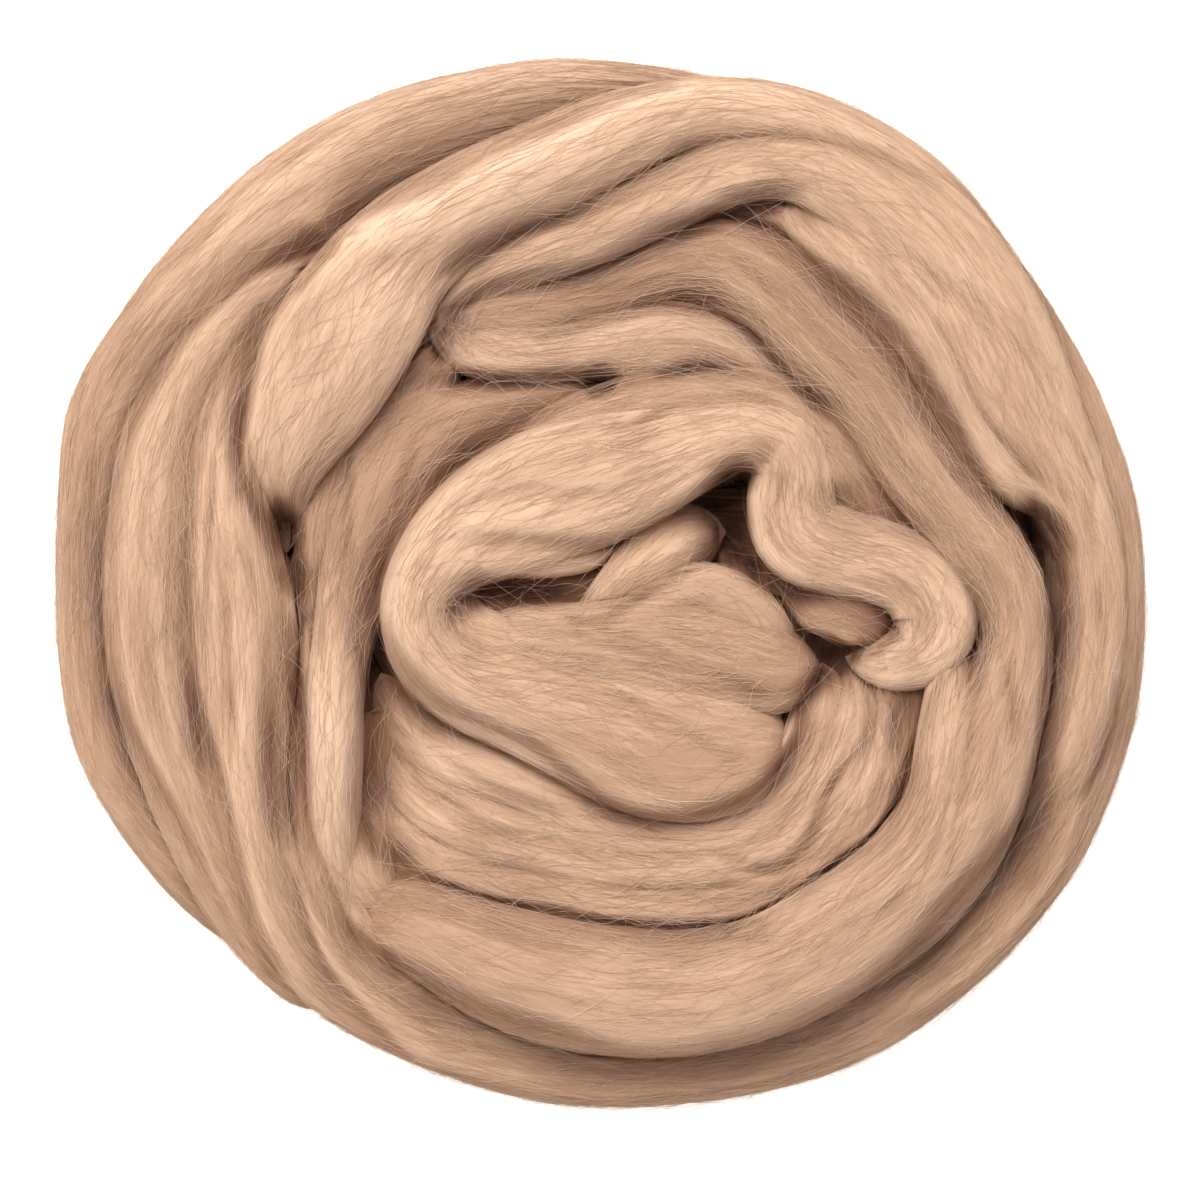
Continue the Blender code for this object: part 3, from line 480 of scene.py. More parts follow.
# Down the right side, and round under the inner turn to its end at the left.
LOW_CREASES = creases((
    (-44, -63.5, 3.6, 5), (-40.5, -67, 4.6, 6), (-35, -70.6, 5, 7), (-30, -73.2, 5, 8),
    (-24.5, -76), (-17, -78.6, 5, 9), (-9, -81), (-2, -83.6, 4.6), (6, -85.4, 4.2, 8),
    (14, -85.4, 4), (23, -84, 4.2, 9), (32, -81.3, 4.6, 10), (40, -78, 4.8), (46, -74.4, 4.8, 9),
    (52, -69.7, 5.2, 8), (57.5, -64.7, 5.8), (63, -58.5, 5.6), (68, -52.6), (72.7, -47.3, 5.8),
    (76.3, -42, 6, 6), (78, -35.5, 5.6, 5), (79.3, -28, 4.6, 4), (80.2, -20, 3.8),
    (81.2, -12, 3.6), (81.6, -4, 4), (82.3, 2, 4, 3),
), (
    (61, -54, 0.4, 3), (62.7, -47.5, 1.8, 3.5), (64.2, -40, 2.2), (65.8, -31.5), (67, -23, 2, 3),
    (68.6, -14.5, 1.6), (69.5, -9, 0.8),
), (
    (72, -38, 0.3, 3), (74, -29, 1.6), (73.8, -20.5, 2.2), (72, -13, 1.6), (70.5, -7, 0.4),
), (
    (60, -60, 0.2, 4), (66, -51, 0.9), (70, -42, 1.2), (71.5, -33, 0.4),
), (
    (15, -75, 0.2, 4), (30, -72.5, 0.8), (43, -66, 1.1), (52, -57.5), (57, -50, 0.4),
), (
    (-30, -67, 0.2, 4), (-18, -72, 0.8), (-4, -75.5, 1), (10, -77, 0.9), (24, -76.5, 0.3),
), (
    (12, -88.8, 0.4, 4), (26, -87.5, 1), (38, -84, 1.4), (47.5, -81.5, 1.8, 5), (57, -78.7, 2),
    (66, -74.7), (73, -68, 1.8), (79, -60, 1.6), (84, -51), (87, -43, 2), (89.5, -34, 2.2),
    (92.5, -25, 2), (95, -14, 1.2, 4), (96.5, -3, 0.3),
), (
    (46, -77.6, 0.3, 3), (53, -76.8, 1.1), (61, -74, 1.2), (68, -68.5, 1), (75, -60, 0.8),
    (79, -52, 0.3),
), (
    (-36, -80, 0.3, 3), (-28, -83.5, 1), (-16, -87.3, 1, 4), (-2, -89.5, 0.8), (10, -90.3, 0.3),
), (
    (-86, -40, 0.3, 4), (-80, -49, 1), (-73, -57.5), (-66, -65.5, 0.3),
))

# Hollows between the turns.
HOLLOWS = hollows(
    (-14, -1.4, 6.5, 9, 2.4, -6), (-23, -2, 3.5, 4.5, 3.2, 60), (23, 17, 12, 5.6, 3.4, 48),
    (24.6, 10, 11, 6.5, 3, -85), (28.3, 2.4, 8, 5, 2, -45), (42.8, -11.6, 8, 3.6, 1.9, -28),
    (0, 36.6, 10, 2.6, 2.6, 0), (80.2, 8.6, 13, 5.6, 3.4, -60), (82, 2, 8, 5, 2.4, -85),
    (-57.4, 9.3, 10, 5, 2.9, 102), (-55.6, 2, 6, 5, 2.6, 104), (-25, 37.6, 3.6, 6.5, 1.4, -2),
    (-51, 59.3, 6, 4.6, 2.4, 25), (28, 68.6, 3.6, 7, 2.6, 14), (38.5, 33.6, 6, 5, 1.8, -38),
    (-36.3, -49.3, 4, 5, 3.2, -50), (47.5, 15.5, 2.5, 6.5, 3.6, -15),
    (15, -66.3, 2.8, 11, 3.6, -4), (56, -25, 3.5, 9, 4.6, 80), (58, -65.8, 3.5, 7.5, 3, 42),
    (79.5, -42.5, 3, 6, 3, 70), (46, -7.5, 2.5, 6, 3.4, -25), (5, 53, 2.5, 16, 4, 5),
    (20, -8, 2.2, 14, 7, -20), (25, 33, 1.2, 12, 5, -5), (60, 15, 1.4, 12, 6, -55),
)
# Every crease, in the order that they are pressed in.
CREASES = (
    *OUTER_CREASES, *LEFT_CREASES, *TOP_CREASES, *HEART_CREASES, *CRADLE_CREASES, *FAN_CREASES,
    *LOW_CREASES,
)

# --- Noise, curves and small geometry ---

CURVE_STEPS = 24  # fine steps between two places of a curve, to measure along it
LEAST_STEPS = 4  # the fewest steps that a curve is cut into


class Grain(NamedTuple):
    """A layer of noise on wool: its cells' size along the wool and round it, and the cell
    that it starts from."""

    along: float
    around: float
    first_along: float = 0
    first_around: float = 0


class Drift:
    """Smooth seeded noise over a plane: a lattice of random heights joined by soft steps."""

    CELLS = 128

    def __init__(self, seed: int) -> None:
        """Args:
        seed: which of the endless fields of noise this is.
        """
        rng = np.random.default_rng(seed)
        self.lattice = rng.uniform(-1, 1, (self.CELLS, self.CELLS))

    def layer(self, grain: Grain, along: Array, girth: Array) -> Array:
        """A layer of the noise on wool, from -1 to 1.

        Args:
            grain: the layer.
            along: distances along the wool.
            girth: distances round it.

        Returns:
            The noise at each place.
        """
        u = along / grain.along + grain.first_along
        v = girth / grain.around + grain.first_around
        return self.at(u, v)

    def at(self, u: Array, v: Array) -> Array:
        """Reads the noise.

        Args:
            u: first coordinates, in cells.
            v: second coordinates, in cells.

        Returns:
            The noise at each point, from -1 to 1.
        """
        u, v = np.broadcast_arrays(u, v)
        column, row = np.floor(u).astype(int), np.floor(v).astype(int)
        across, up = soft_step(u - column), soft_step(v - row)
        left, right = column % self.CELLS, (column + 1) % self.CELLS
        low, high = row % self.CELLS, (row + 1) % self.CELLS
        bottom = self.lattice[left, low] * (1 - across) + self.lattice[right, low] * across
        top = self.lattice[left, high] * (1 - across) + self.lattice[right, high] * across
        return bottom * (1 - up) + top * up


def soft_step(share: Array) -> Array:
    """Shares from 0 to 1, eased so far that the noise has no corners between its cells."""
    return share**3 * (share * (share * 6 - 15) + 10)


def resample(rows: tuple[Section, ...] | tuple[Fold, ...], step: float) -> Array:
    """Rows every step along the smooth curve through a run's or a crease's places.

    Args:
        rows: the places.
        step: distance between the rows made.

    Returns:
        An array with a row for each place and a column for each field of a place.
    """
    table = np.array([rows[0], *rows, rows[-1]], float)
    share = np.linspace(0, 1, CURVE_STEPS, endpoint=False)[:, None]
    stretches = []
    for before, start, end, after in zip(table, table[1:], table[2:], table[3:]):
        stretches.append(
            0.5
            * (
                2 * start
                + (end - before) * share
                + (2 * before - 5 * start + 4 * end - after) * share**2
                + (3 * start - before - 3 * end + after) * share**3
            )
        )
    fine = np.concatenate([*stretches, table[-1:]])
    travelled = np.concatenate([[0], np.cumsum(np.hypot(*np.diff(fine[:, :2], axis=0).T))])
    steps = max(LEAST_STEPS, round(travelled[-1] / step))
    places = np.linspace(0, travelled[-1], steps + 1)
    return np.stack([np.interp(places, travelled, column) for column in fine.T], axis=1)


def unit(vectors: Array) -> Array:
    """The vectors in the last axis, each scaled to length 1."""
    length = np.linalg.norm(vectors, axis=-1, keepdims=True)
    return vectors / np.maximum(length, 1e-12)


def ease(values: Array, low: float, high: float) -> Array:
    """Values eased from 0, at low or under, to 1, at high or over."""
    share = np.clip((values - low) / (high - low), 0, 1)
    return share * share * (3 - 2 * share)


def away(points: Array) -> Array:
    """How far each point is from the nest's middle, in plan."""
    return np.hypot(points[..., 0], points[..., 1])


def between(grid: Array, row: Array, column: Array) -> Array:
    """Reads a grid between its rows and columns.

    Args:
        grid: the grid.
        row: which row each place is at, with its share of the way to the next.
        column: which column it is at, likewise.

    Returns:
        The value at each place.
    """
    i = np.minimum(row.astype(int), grid.shape[0] - 2)
    j = np.minimum(column.astype(int), grid.shape[1] - 2)
    extra = (None,) * (grid.ndim - 2)
    a, b = (row - i)[(..., *extra)], (column - j)[(..., *extra)]
    near = grid[i, j] * (1 - b) + grid[i, j + 1] * b
    far = grid[i + 1, j] * (1 - b) + grid[i + 1, j + 1] * b
    return near * (1 - a) + far * a


def select_nothing() -> None:
    """Deselects every object, so that an operator acts only on what is made next."""
    for obj in list(bpy.context.selected_objects):
        obj.select_set(False)


# --- Locks of the strand ---


@dataclass
class Skin:
    """A lock's ribbed surface as a grid of points, which fibres are laid on."""

    points: Array  # the grid, rows along the lock and columns round it
    outward: Array  # the unit normals there
    shade: Array  # the wool's tone there, from 0, deep, to 1, light, with painted light and shade in it
    along: Array  # distance along the lock of each row
    girth: Array  # distance round the lock of each column
    last_shown: int  # the last column that can be seen from outside
    pressed: Array | None = None  # how far each point was pressed into a crease
    openness: Array | None = None  # how much of the sky each point sees, from 0 to 1

    def read(self, grid: Array, along: Array, girth: Array) -> Array:
        """Reads a grid of the skin between its points.

        Args:
            grid: values for each row and column.
            along: how far along the lock each place is.
            girth: how far round the lock each place is.

        Returns:
            The value at each place.
        """
        row = np.interp(along, self.along, np.arange(len(self.along)))
        column = np.interp(girth, self.girth, np.arange(len(self.girth)))
        return between(grid, row, column)

    def thick(self, times: int) -> Array:
        """Reads the skin's points with more between them.

        Args:
            times: how many times closer they are, each way.

        Returns:
            The points, as a plain list.
        """
        rows, columns = self.points.shape[:2]
        along = np.interp(np.linspace(0, rows - 1, times * rows), np.arange(rows), self.along)
        girth = np.interp(np.linspace(0, columns - 1, times * columns), np.arange(columns), self.girth)
        dense = self.read(self.points, along[:, None] + 0 * girth, girth + 0 * along[:, None])
        return dense.reshape(-1, 3)

    OLD_NORMALS = 0.25  # how much of its old normals a pressed skin keeps

    def face_outwards(self) -> None:
        """Works the normals out again from where the points now lie."""
        down_rows = np.gradient(self.points, axis=0)
        down_columns = np.gradient(self.points, axis=1)
        facing = unit(np.cross(down_rows, down_columns))
        turned = np.sum(facing * self.outward, axis=-1, keepdims=True) < 0
        facing = np.where(turned, -facing, facing)
        self.outward = unit(facing + self.OLD_NORMALS * self.outward)


@dataclass
class Lock:
    """One run of the strand: a soft tube with ribs along it."""

    name: str  # the piece's name
    rows: tuple[Section, ...]  # the sections that it passes
    tone: Tone  # its shade of wool
    seed: int  # seeds its ribs
    outer: bool = False  # whether its side can be seen from beside the nest
    row_step: float = 1.5  # distance between the rows of its skin
    column_step: float = 0.66  # distance between its columns where it shows
    tone_and_painted_light: tuple[tuple[float, float], ...] = ((0.0, 0.0),)  # tone added at shares of its length, partly the wool's own and partly painted light and shade

    FULLNESS = 2.2  # exponent of the section: 2 is an ellipse, more is fuller
    HIDDEN_COLUMNS = 7
    SHOWN_BELOW = 22.0  # degrees under its widest place that a lock inside the nest shows
    SHOWN_BELOW_OUTER = 65.0  # the same for a lock at the nest's side
    USUAL = 80  # percentile of a lock's girths that its columns are spaced for
    TIP = 8.0  # mm, how much of each end is rounded off
    FLOOR_GAP = 0.35  # mm, how far the lowest wool stands off the resting plane
    FLOOR_RIB = 1.2  # times that gap that is added under a rib's valley
    WELD = 0.02  # mm, points nearer than this are joined at the seam and the ends

    # Noise that makes the ribs sway and wander, and the ribs' own layers.
    SWAY, WANDER = Grain(50, 10, 0, 40), Grain(11, 5, 0, 15)
    SWAY_BY, WANDER_BY = 2.5, 0.6  # mm
    SWELL, FOLD, CREASE = Grain(38, 11), Grain(60, 6.5, 17, 9), Grain(34, 3.2, 61, 31)
    RIDGE, BAND, PATCH = Grain(13, 1.5, 5, 71), Grain(48, 4, 33, 3), Grain(17, 7, 53, 23)
    VALLEY = 0.3  # half the band of noise, round 0, that is a fold or a crease
    SWELL_RISE, FOLD_DEPTH, CREASE_DEPTH, RIDGE_RISE = 1.1, 0.4, 0.1, 0.07  # mm
    TONE = 0.56  # the usual tone, from 0, deep, to 1, light
    # Band and patch tones are the wool's own; the fold and crease tones paint shade into the rib
    # valleys, and the ridge tone paints a highlight on the fine ridges.
    BAND_TONE, PATCH_TONE, RIDGE_TONE, FOLD_TONE, CREASE_TONE = 0.16, 0.1, 0.05, 0.11, 0.04
    FULL_WIDTH = 16.0  # mm, the width from which ribs have their full height
    LEAST_RIBS = 0.35  # the share of it that the narrowest locks have

    def lay(self) -> Skin:
        """Lays the lock where the strand goes.

        Returns:
            Its skin, before it meets the others.
        """
        path = resample(self.rows, self.row_step)
        width, depth = path[:, 3], path[:, 4]
        girths = math.pi * np.hypot(width, depth) / math.sqrt(2)
        around = float(np.percentile(girths, self.USUAL))
        below = math.radians(self.SHOWN_BELOW_OUTER if self.outer else self.SHOWN_BELOW)
        shown = around * (math.pi + 2 * below) / (2 * math.pi)
        count = round(shown / self.column_step)
        turn = np.linspace(-below, math.pi + below, count + 1)
        rest = np.linspace(math.pi + below, 2 * math.pi - below, self.HIDDEN_COLUMNS + 1)
        return self.shape(path, np.concatenate([turn, rest[1:]]), count, around)

    def shape(self, path: Array, turn: Array, last: int, around: float) -> Skin:
        """Shapes the lock's skin with its ribs.

        Args:
            path: the lock's resampled rows.
            turn: the columns' angles.
            last: the last column that shows.
            around: the lock's usual girth.

        Returns:
            The skin.
        """
        step = np.hypot(*np.diff(path[:, :2], axis=0).T)
        along = np.concatenate([[0], np.cumsum(step)])
        heading = np.arctan2(np.gradient(path[:, 1]), np.gradient(path[:, 0]))[:, None]
        from_end = np.minimum(along, along[-1] - along)
        full = np.sqrt(1 - np.clip(1 - from_end / self.TIP, 0, 1) ** 2)[:, None]

        x, y, crown, width, depth = path.T[:, :, None]
        cosine, sine = np.cos(turn)[None], np.sin(turn)[None]
        power = 2 / self.FULLNESS
        side = np.sign(cosine) * np.abs(cosine) ** power
        lift = np.sign(sine) * np.abs(sine) ** power
        out_side = np.sign(cosine) * np.abs(cosine) ** (2 - power) / width
        out_up = np.sign(sine) * np.abs(sine) ** (2 - power) / depth
        out_length = np.maximum(np.hypot(out_side, out_up), 1e-9)
        out_side, out_up = out_side / out_length, out_up / out_length

        girth = (turn - turn[0]) / (2 * math.pi) * around
        rise, shade = self.ribs(along[:, None], girth[None], width)
        rise = rise * full
        across = full * side * width / 2 + out_side * rise
        height = crown - depth / 2 * (1 - full * lift) + out_up * rise
        floor = self.FLOOR_GAP * (1 + self.FLOOR_RIB * np.clip(-rise, 0, 1))
        across_x, across_y = -np.sin(heading), np.cos(heading)
        points = np.stack(
            [x + across * across_x, y + across * across_y, np.maximum(height, floor)], axis=-1
        )
        outward = np.stack([out_side * across_x, out_side * across_y, out_up], axis=-1)
        return Skin(points, unit(outward), shade, along, girth, last)

    def ribs(self, along: Array, girth: Array, width: Array) -> tuple[Array, Array]:
        """The folds and ribs that run along the lock.

        Args:
            along: distances along the lock, as a column.
            girth: distances round it, as a row.
            width: the lock's width in each row, as a column.

        Returns:
            How far the skin stands off the smooth tube, and its tone, with painted shade in the folds
            and creases, a painted highlight on the ridges, and painted light and shade along the lock.
        """
        noise = Drift(self.seed)
        girth = girth + self.SWAY_BY * noise.layer(self.SWAY, along, girth)
        girth = girth + self.WANDER_BY * noise.layer(self.WANDER, along, girth)
        swell, fold, crease, ridge, band, patch = (
            noise.layer(grain, along, girth)
            for grain in (self.SWELL, self.FOLD, self.CREASE, self.RIDGE, self.BAND, self.PATCH)
        )
        fold, crease = (np.exp(-((valley / self.VALLEY) ** 2)) for valley in (fold, crease))
        rise = (
            self.SWELL_RISE * swell
            - self.FOLD_DEPTH * fold
            - self.CREASE_DEPTH * crease
            + self.RIDGE_RISE * ridge
        )
        shade = self.TONE + self.BAND_TONE * band + self.PATCH_TONE * patch
        # Painted highlight on the ridges, painted shade in the folds and creases.
        shade = shade + self.RIDGE_TONE * ridge - self.FOLD_TONE * fold
        shade = shade - self.CREASE_TONE * crease
        # Painted light and shade along the lock, over some of the wool's own tone: lighter where it lies
        # high in the light, and darker where it lies low in shadow and where it slopes away from the
        # light.
        shade = shade + np.interp(along / along[-1], *zip(*self.tone_and_painted_light))
        scale = np.clip(width / self.FULL_WIDTH, self.LEAST_RIBS, 1.0)
        return scale * rise, np.clip(shade, 0, 1)

    def roll(self, skin: Skin) -> bpy.types.Object:
        """Rolls a flat grid into the skin, closes its seam and ends, and unwraps it.

        Args:
            skin: the lock's skin.

        Returns:
            The piece.
        """
        sizes = skin.points.shape[:2]
        select_nothing()
        bpy.ops.mesh.primitive_grid_add(
            x_subdivisions=sizes[0] - 1, y_subdivisions=sizes[1] - 1, size=2, calc_uvs=True
        )
        piece = bpy.context.object
        mesh = piece.data
        piece.name = mesh.name = self.name
        flat = np.empty(len(mesh.vertices) * 3, np.float32)
        mesh.vertices.foreach_get("co", flat)
        flat = flat.reshape(-1, 3)
        row, column = (
            np.rint((flat[:, axis] + 1) / 2 * (size - 1)).astype(int)
            for axis, size in enumerate(sizes)
        )
        rolled = (skin.points[row, column] * MM).astype(np.float32)
        mesh.vertices.foreach_set("co", rolled.ravel())
        for name, grid in ((OPENNESS, skin.openness), (SHADE, skin.shade)):
            layer = mesh.attributes.new(name, "FLOAT", "POINT")
            layer.data.foreach_set("value", grid[row, column].astype(np.float32))

        layer = mesh.uv_layers[0].data
        unwrapped = np.empty(len(layer) * 2, np.float32)
        layer.foreach_get("uv", unwrapped)
        unwrapped = unwrapped.reshape(-1, 2)
        for axis, travelled in enumerate((skin.along, skin.girth)):
            place = unwrapped[:, axis] * (sizes[axis] - 1)
            unwrapped[:, axis] = np.interp(place, np.arange(sizes[axis]), travelled / UV_LENGTH)
        layer.foreach_set("uv", unwrapped.ravel())

        bpy.ops.object.mode_set(mode="EDIT")
        bpy.ops.mesh.select_all(action="SELECT")
        bpy.ops.mesh.remove_doubles(threshold=self.WELD * MM)
        bpy.ops.mesh.normals_make_consistent(inside=False)
        bpy.ops.object.mode_set(mode="OBJECT")
        bpy.ops.object.shade_smooth()
        return piece


class Relief:
    """Creases and hollows as a map over the plane of how far the wool drops."""

    STEP = 1.0  # mm between the places where a crease is reckoned
    MARGIN = 2.6  # how far from a crease it is reckoned, in times its reach
    NARROW = 0.34  # how far a crease reaches into the higher wool, as a share of its reach
    SLOPE = 1.5  # how the lower wool slopes into a crease: more is steeper
    CREST = 0.2  # how much the higher wool swells beside a crease, as a share of its depth
    CREST_AT, CREST_WIDE = 0.95, 0.6  # where it does so and how widely, in times its reach
    DEEPEN = 1.3  # times a crease's depth that it is pressed in
    STRETCH = 16  # places of a crease that are reckoned at once
    BOWL = 1.4  # how a hollow's wall slopes: more is steeper

    def __init__(self, half: float, cell: float) -> None:
        """Args:
        half: half the map's width.
        cell: its cells' size.
        """
        self.half, self.cell = half, cell
        middle = np.arange(round(2 * half / cell)) * cell + cell / 2 - half
        self.x, self.y = np.meshgrid(middle, middle, indexing="ij")
        self.drop = np.zeros_like(self.x)
        self.swell = np.zeros_like(self.x)

    def window(self, low: Array, high: Array) -> tuple[slice, slice]:
        """The cells from one corner to another."""
        first = np.clip(((low + self.half) / self.cell).astype(int), 0, len(self.x))
        last = np.clip(((high + self.half) / self.cell).astype(int) + 1, 0, len(self.x))
        return slice(first[0], last[0]), slice(first[1], last[1])

    def add_crease(self, rows: tuple[Fold, ...]) -> None:
        """Presses a crease into the map.

        Args:
            rows: the places that it passes.
        """
        places = resample(rows, self.STEP)
        heading = unit(np.gradient(places[:, :2], axis=0))
        nearest = np.full_like(self.x, np.inf)
        apart = np.zeros_like(self.x)
        depth, reach = np.zeros_like(self.x), np.ones_like(self.x)
        for first in range(0, len(places), self.STRETCH):
            part = places[first : first + self.STRETCH]
            margin = self.MARGIN * part[:, 3].max()
            area = self.window(part[:, :2].min(axis=0) - margin, part[:, :2].max(axis=0) + margin)
            dx = self.x[area][..., None] - part[:, 0]
            dy = self.y[area][..., None] - part[:, 1]
            pick = (dx**2 + dy**2).argmin(axis=-1)
            dx = np.take_along_axis(dx, pick[..., None], -1)[..., 0]
            dy = np.take_along_axis(dy, pick[..., None], -1)[..., 0]
            ahead = heading[first : first + self.STRETCH][pick]
            distance = np.hypot(dx, dy)
            left = dy * ahead[..., 0] - dx * ahead[..., 1]
            side = np.where(left > 0, distance, -distance)
            closer = distance < nearest[area]
            found = (distance, side, part[pick, 2], part[pick, 3])
            for grid, new in zip((nearest, apart, depth, reach), found):
                grid[area] = np.where(closer, new, grid[area])
        slope = np.where(
            apart > 0,
            np.exp(-((apart / (self.NARROW * reach)) ** 2)),
            np.exp(-(np.abs(apart / reach) ** self.SLOPE)),
        )
        from_crest = (apart - self.CREST_AT * reach) / (self.CREST_WIDE * reach)
        crest = np.exp(-(from_crest**2)) * (apart > 0)
        self.drop = np.maximum(self.drop, depth * slope)
        self.swell = np.maximum(self.swell, self.CREST * depth * crest)

    def add_hollow(self, hollow: Hollow) -> None:
        """Presses a hollow into the map.

        Args:
            hollow: the hollow.
        """
        dx, dy = self.x - hollow.x, self.y - hollow.y
        turn = math.radians(hollow.turn)
        u = (dx * math.cos(turn) + dy * math.sin(turn)) / hollow.along
        v = (dy * math.cos(turn) - dx * math.sin(turn)) / hollow.across
        bowl = np.exp(-((u * u + v * v) ** self.BOWL))
        self.drop = np.maximum(self.drop, hollow.depth * bowl)

    def rise(self) -> Array:
        """How far the wool stands above where it would without the creases."""
        return self.DEEPEN * (self.swell - self.drop)


class Heap:
    """The heights of the heaped locks, as maps over the plane."""

    CELL = 0.5
    HALF = 110.0
    NOTHING = -1.0
    CLOSER = 3  # how many times closer a skin's points are read for the maps
    TURNS = 360  # cells of the reach map round the nest
    BAND = 2.0  # mm, how high each of them is
    BANDS = 64

    BRIDGE_CELLS = 5  # half the width of a crease that stray fibres bridge
    ROOF_PASSES, SMOOTH_PASSES, LEVEL_PASSES, OTHERS_PASSES = 4, 2, 24, 3  # of blurring
    NESTLE = 9.0  # how near in height two locks are where they sink into each other
    FILL = 3.5  # the most that the crease between them fills
    NESTLED = (-0.3, 0.15)  # slope of the skin, as its normal's height, where that starts
    PRESSED = (-0.45, 0.05)  # the same, where creases are pressed in
    ON_TOP = (-14.0, -7.0)  # mm under the top of the heap where they are

    DIRECTIONS = 12  # in which the sky is looked for
    REACHES = (1.2, 2.5, 4, 6, 9, 13, 18, 25)  # mm, how far off wool may hide it
    CLEAR = 0.4  # mm, how much higher it stands before it does
    GLOOM = 0.03  # share of the sky that each millimetre a place was pressed into a crease is taken to hide, which deepens its painted crease shade
    SIDE_SKY = 0.78  # share of the sky that the nest's side sees at least
    SIDE = (6.0, 14.0)  # mm inside the nest's outline where its side ends
    STEEP = (0.1, 0.5)  # the slope, as above, that is too level for a side
    UP = 0.35  # the slope from which a place is seen from above
    SEEN_UNDER, SEEN_INSIDE = 1.5, 2.5  # mm, how deep the wool that shows may lie

    def __init__(self, skins: list[Skin]) -> None:
        """Args:
        skins: every lock's skin.
        """
        size = round(2 * self.HALF / self.CELL)
        layers = np.full((len(skins), size, size), self.NOTHING, np.float32)
        self.reach = np.zeros((self.TURNS, self.BANDS))
        for layer, skin in zip(layers, skins):
            points = skin.thick(self.CLOSER)
            np.maximum.at(layer, self.cells(points), points[:, 2].astype(np.float32))
            np.maximum.at(self.reach, self.beside(points), away(points))
        self.highest = layers.max(axis=0)
        self.owner = layers.argmax(axis=0)
        self.second = np.partition(layers, -2, axis=0)[-2]
        roof = self.spread(self.highest, self.BRIDGE_CELLS)
        roof = -self.spread(-roof, self.BRIDGE_CELLS)
        self.roof = self.soften(roof, self.ROOF_PASSES)
        self.smooth = self.soften(self.highest, self.SMOOTH_PASSES)
        fill = self.soften(self.highest, self.LEVEL_PASSES) - self.smooth
        self.fill = self.soften(np.clip(fill, 0, self.FILL), self.SMOOTH_PASSES)

    def cells(self, points: Array) -> tuple[Array, Array]:
        """The cell under each point."""
        index = np.floor((points[..., :2] + self.HALF) / self.CELL).astype(int)
        index = np.clip(index, 0, round(2 * self.HALF / self.CELL) - 1)
        return index[..., 0], index[..., 1]

    def beside(self, points: Array) -> tuple[Array, Array]:
        """The cell of the reach map beside each point."""
        turn = np.arctan2(points[..., 1], points[..., 0]) / (2 * math.pi) * self.TURNS
        level = np.clip(points[..., 2] / self.BAND, 0, self.BANDS - 1)
        return turn.astype(int) % self.TURNS, level.astype(int)

    def outline(self, points: Array) -> Array:
        """How far the nest's outline is from its middle beside each point."""
        turn, _ = self.beside(points)
        return self.reach.max(axis=1)[turn]

    def read(self, grid: Array, points: Array) -> Array:
        """A map read between its cells.

        Args:
            grid: the map.
            points: where it is read.

        Returns:
            The map's value at each point.
        """
        place = (points[..., :2] + self.HALF) / self.CELL - 0.5
        place = np.clip(place, 0, len(grid) - 1.001)
        return between(grid, place[..., 0], place[..., 1])

    @staticmethod
    def spread(grid: Array, cells: int) -> Array:
        """Raises each cell of a map to the highest one near it.

        Args:
            grid: the map.
            cells: how many cells away still count as near.

        Returns:
            The new map.
        """
        for _ in range(cells):
            for axis in (0, 1):
                ahead, behind = np.roll(grid, 1, axis), np.roll(grid, -1, axis)
                grid = np.maximum(grid, np.maximum(ahead, behind))
        return grid

    @staticmethod
    def soften(grid: Array, times: int) -> Array:
        """Blurs a map a little.

        Args:
            grid: the map.
            times: how many times it is blurred.

        Returns:
            The new map.
        """
        for _ in range(times):
            for axis in (0, 1):
                grid = (np.roll(grid, 1, axis) + 2 * grid + np.roll(grid, -1, axis)) / 4
        return grid

    def nestle(self, index: int, skin: Skin) -> None:
        """Rounds the crease where a lock meets the others, as soft wool does.

        Args:
            index: the lock's place among the skins.
            skin: its skin.
        """
        others = np.where(self.owner == index, self.second, self.highest)
        others = self.soften(others, self.OTHERS_PASSES)
        apart = np.abs(skin.points[..., 2] - self.read(others, skin.points))
        share = np.clip(1 - apart / self.NESTLE, 0, 1)
        facing_up = ease(skin.outward[..., 2], *self.NESTLED)
        skin.points[..., 2] += share * self.read(self.fill, skin.points) * facing_up

    def press(self, skin: Skin, rise: Array) -> None:
        """Presses the creases and hollows into the wool that lies on top.

        Args:
            skin: a lock's skin.
            rise: the map of how far the wool stands above where it would without them.
        """
        below = self.read(self.smooth, skin.points) - skin.points[..., 2]
        on_top = ease(-below, *self.ON_TOP) * ease(skin.outward[..., 2], *self.PRESSED)
        change = self.read(rise, skin.points) * on_top
        skin.points[..., 2] = np.maximum(skin.points[..., 2] + change, Lock.FLOOR_GAP)
        skin.pressed = np.maximum(-change, 0)

    def openness(self, skin: Skin) -> Array:
        """How much of the sky a skin sees, which sets how much shade is painted into its colour.

        Args:
            skin: the skin.

        Returns:
            A share from 0 to 1 for each of its points.
        """
        total = np.zeros(skin.points.shape[:2])
        for k in range(self.DIRECTIONS):
            angle = 2 * math.pi * (k + 0.5) / self.DIRECTIONS
            step = np.array([math.cos(angle), math.sin(angle), 0])
            steepest = np.zeros(skin.points.shape[:2])
            for reach in self.REACHES:
                cell = self.cells(skin.points + reach * step)
                rise = self.smooth[cell] - skin.points[..., 2] - self.CLEAR
                steepest = np.maximum(steepest, rise / reach)
            total += 1 / (1 + steepest**2)
        opened = total / self.DIRECTIONS * (1 - self.GLOOM * skin.pressed)
        inside = self.outline(skin.points) - away(skin.points)
        steep = 1 - ease(skin.outward[..., 2], *self.STEEP)
        beside = (1 - ease(inside, *self.SIDE)) * steep
        return np.maximum(opened, self.SIDE_SKY * beside)

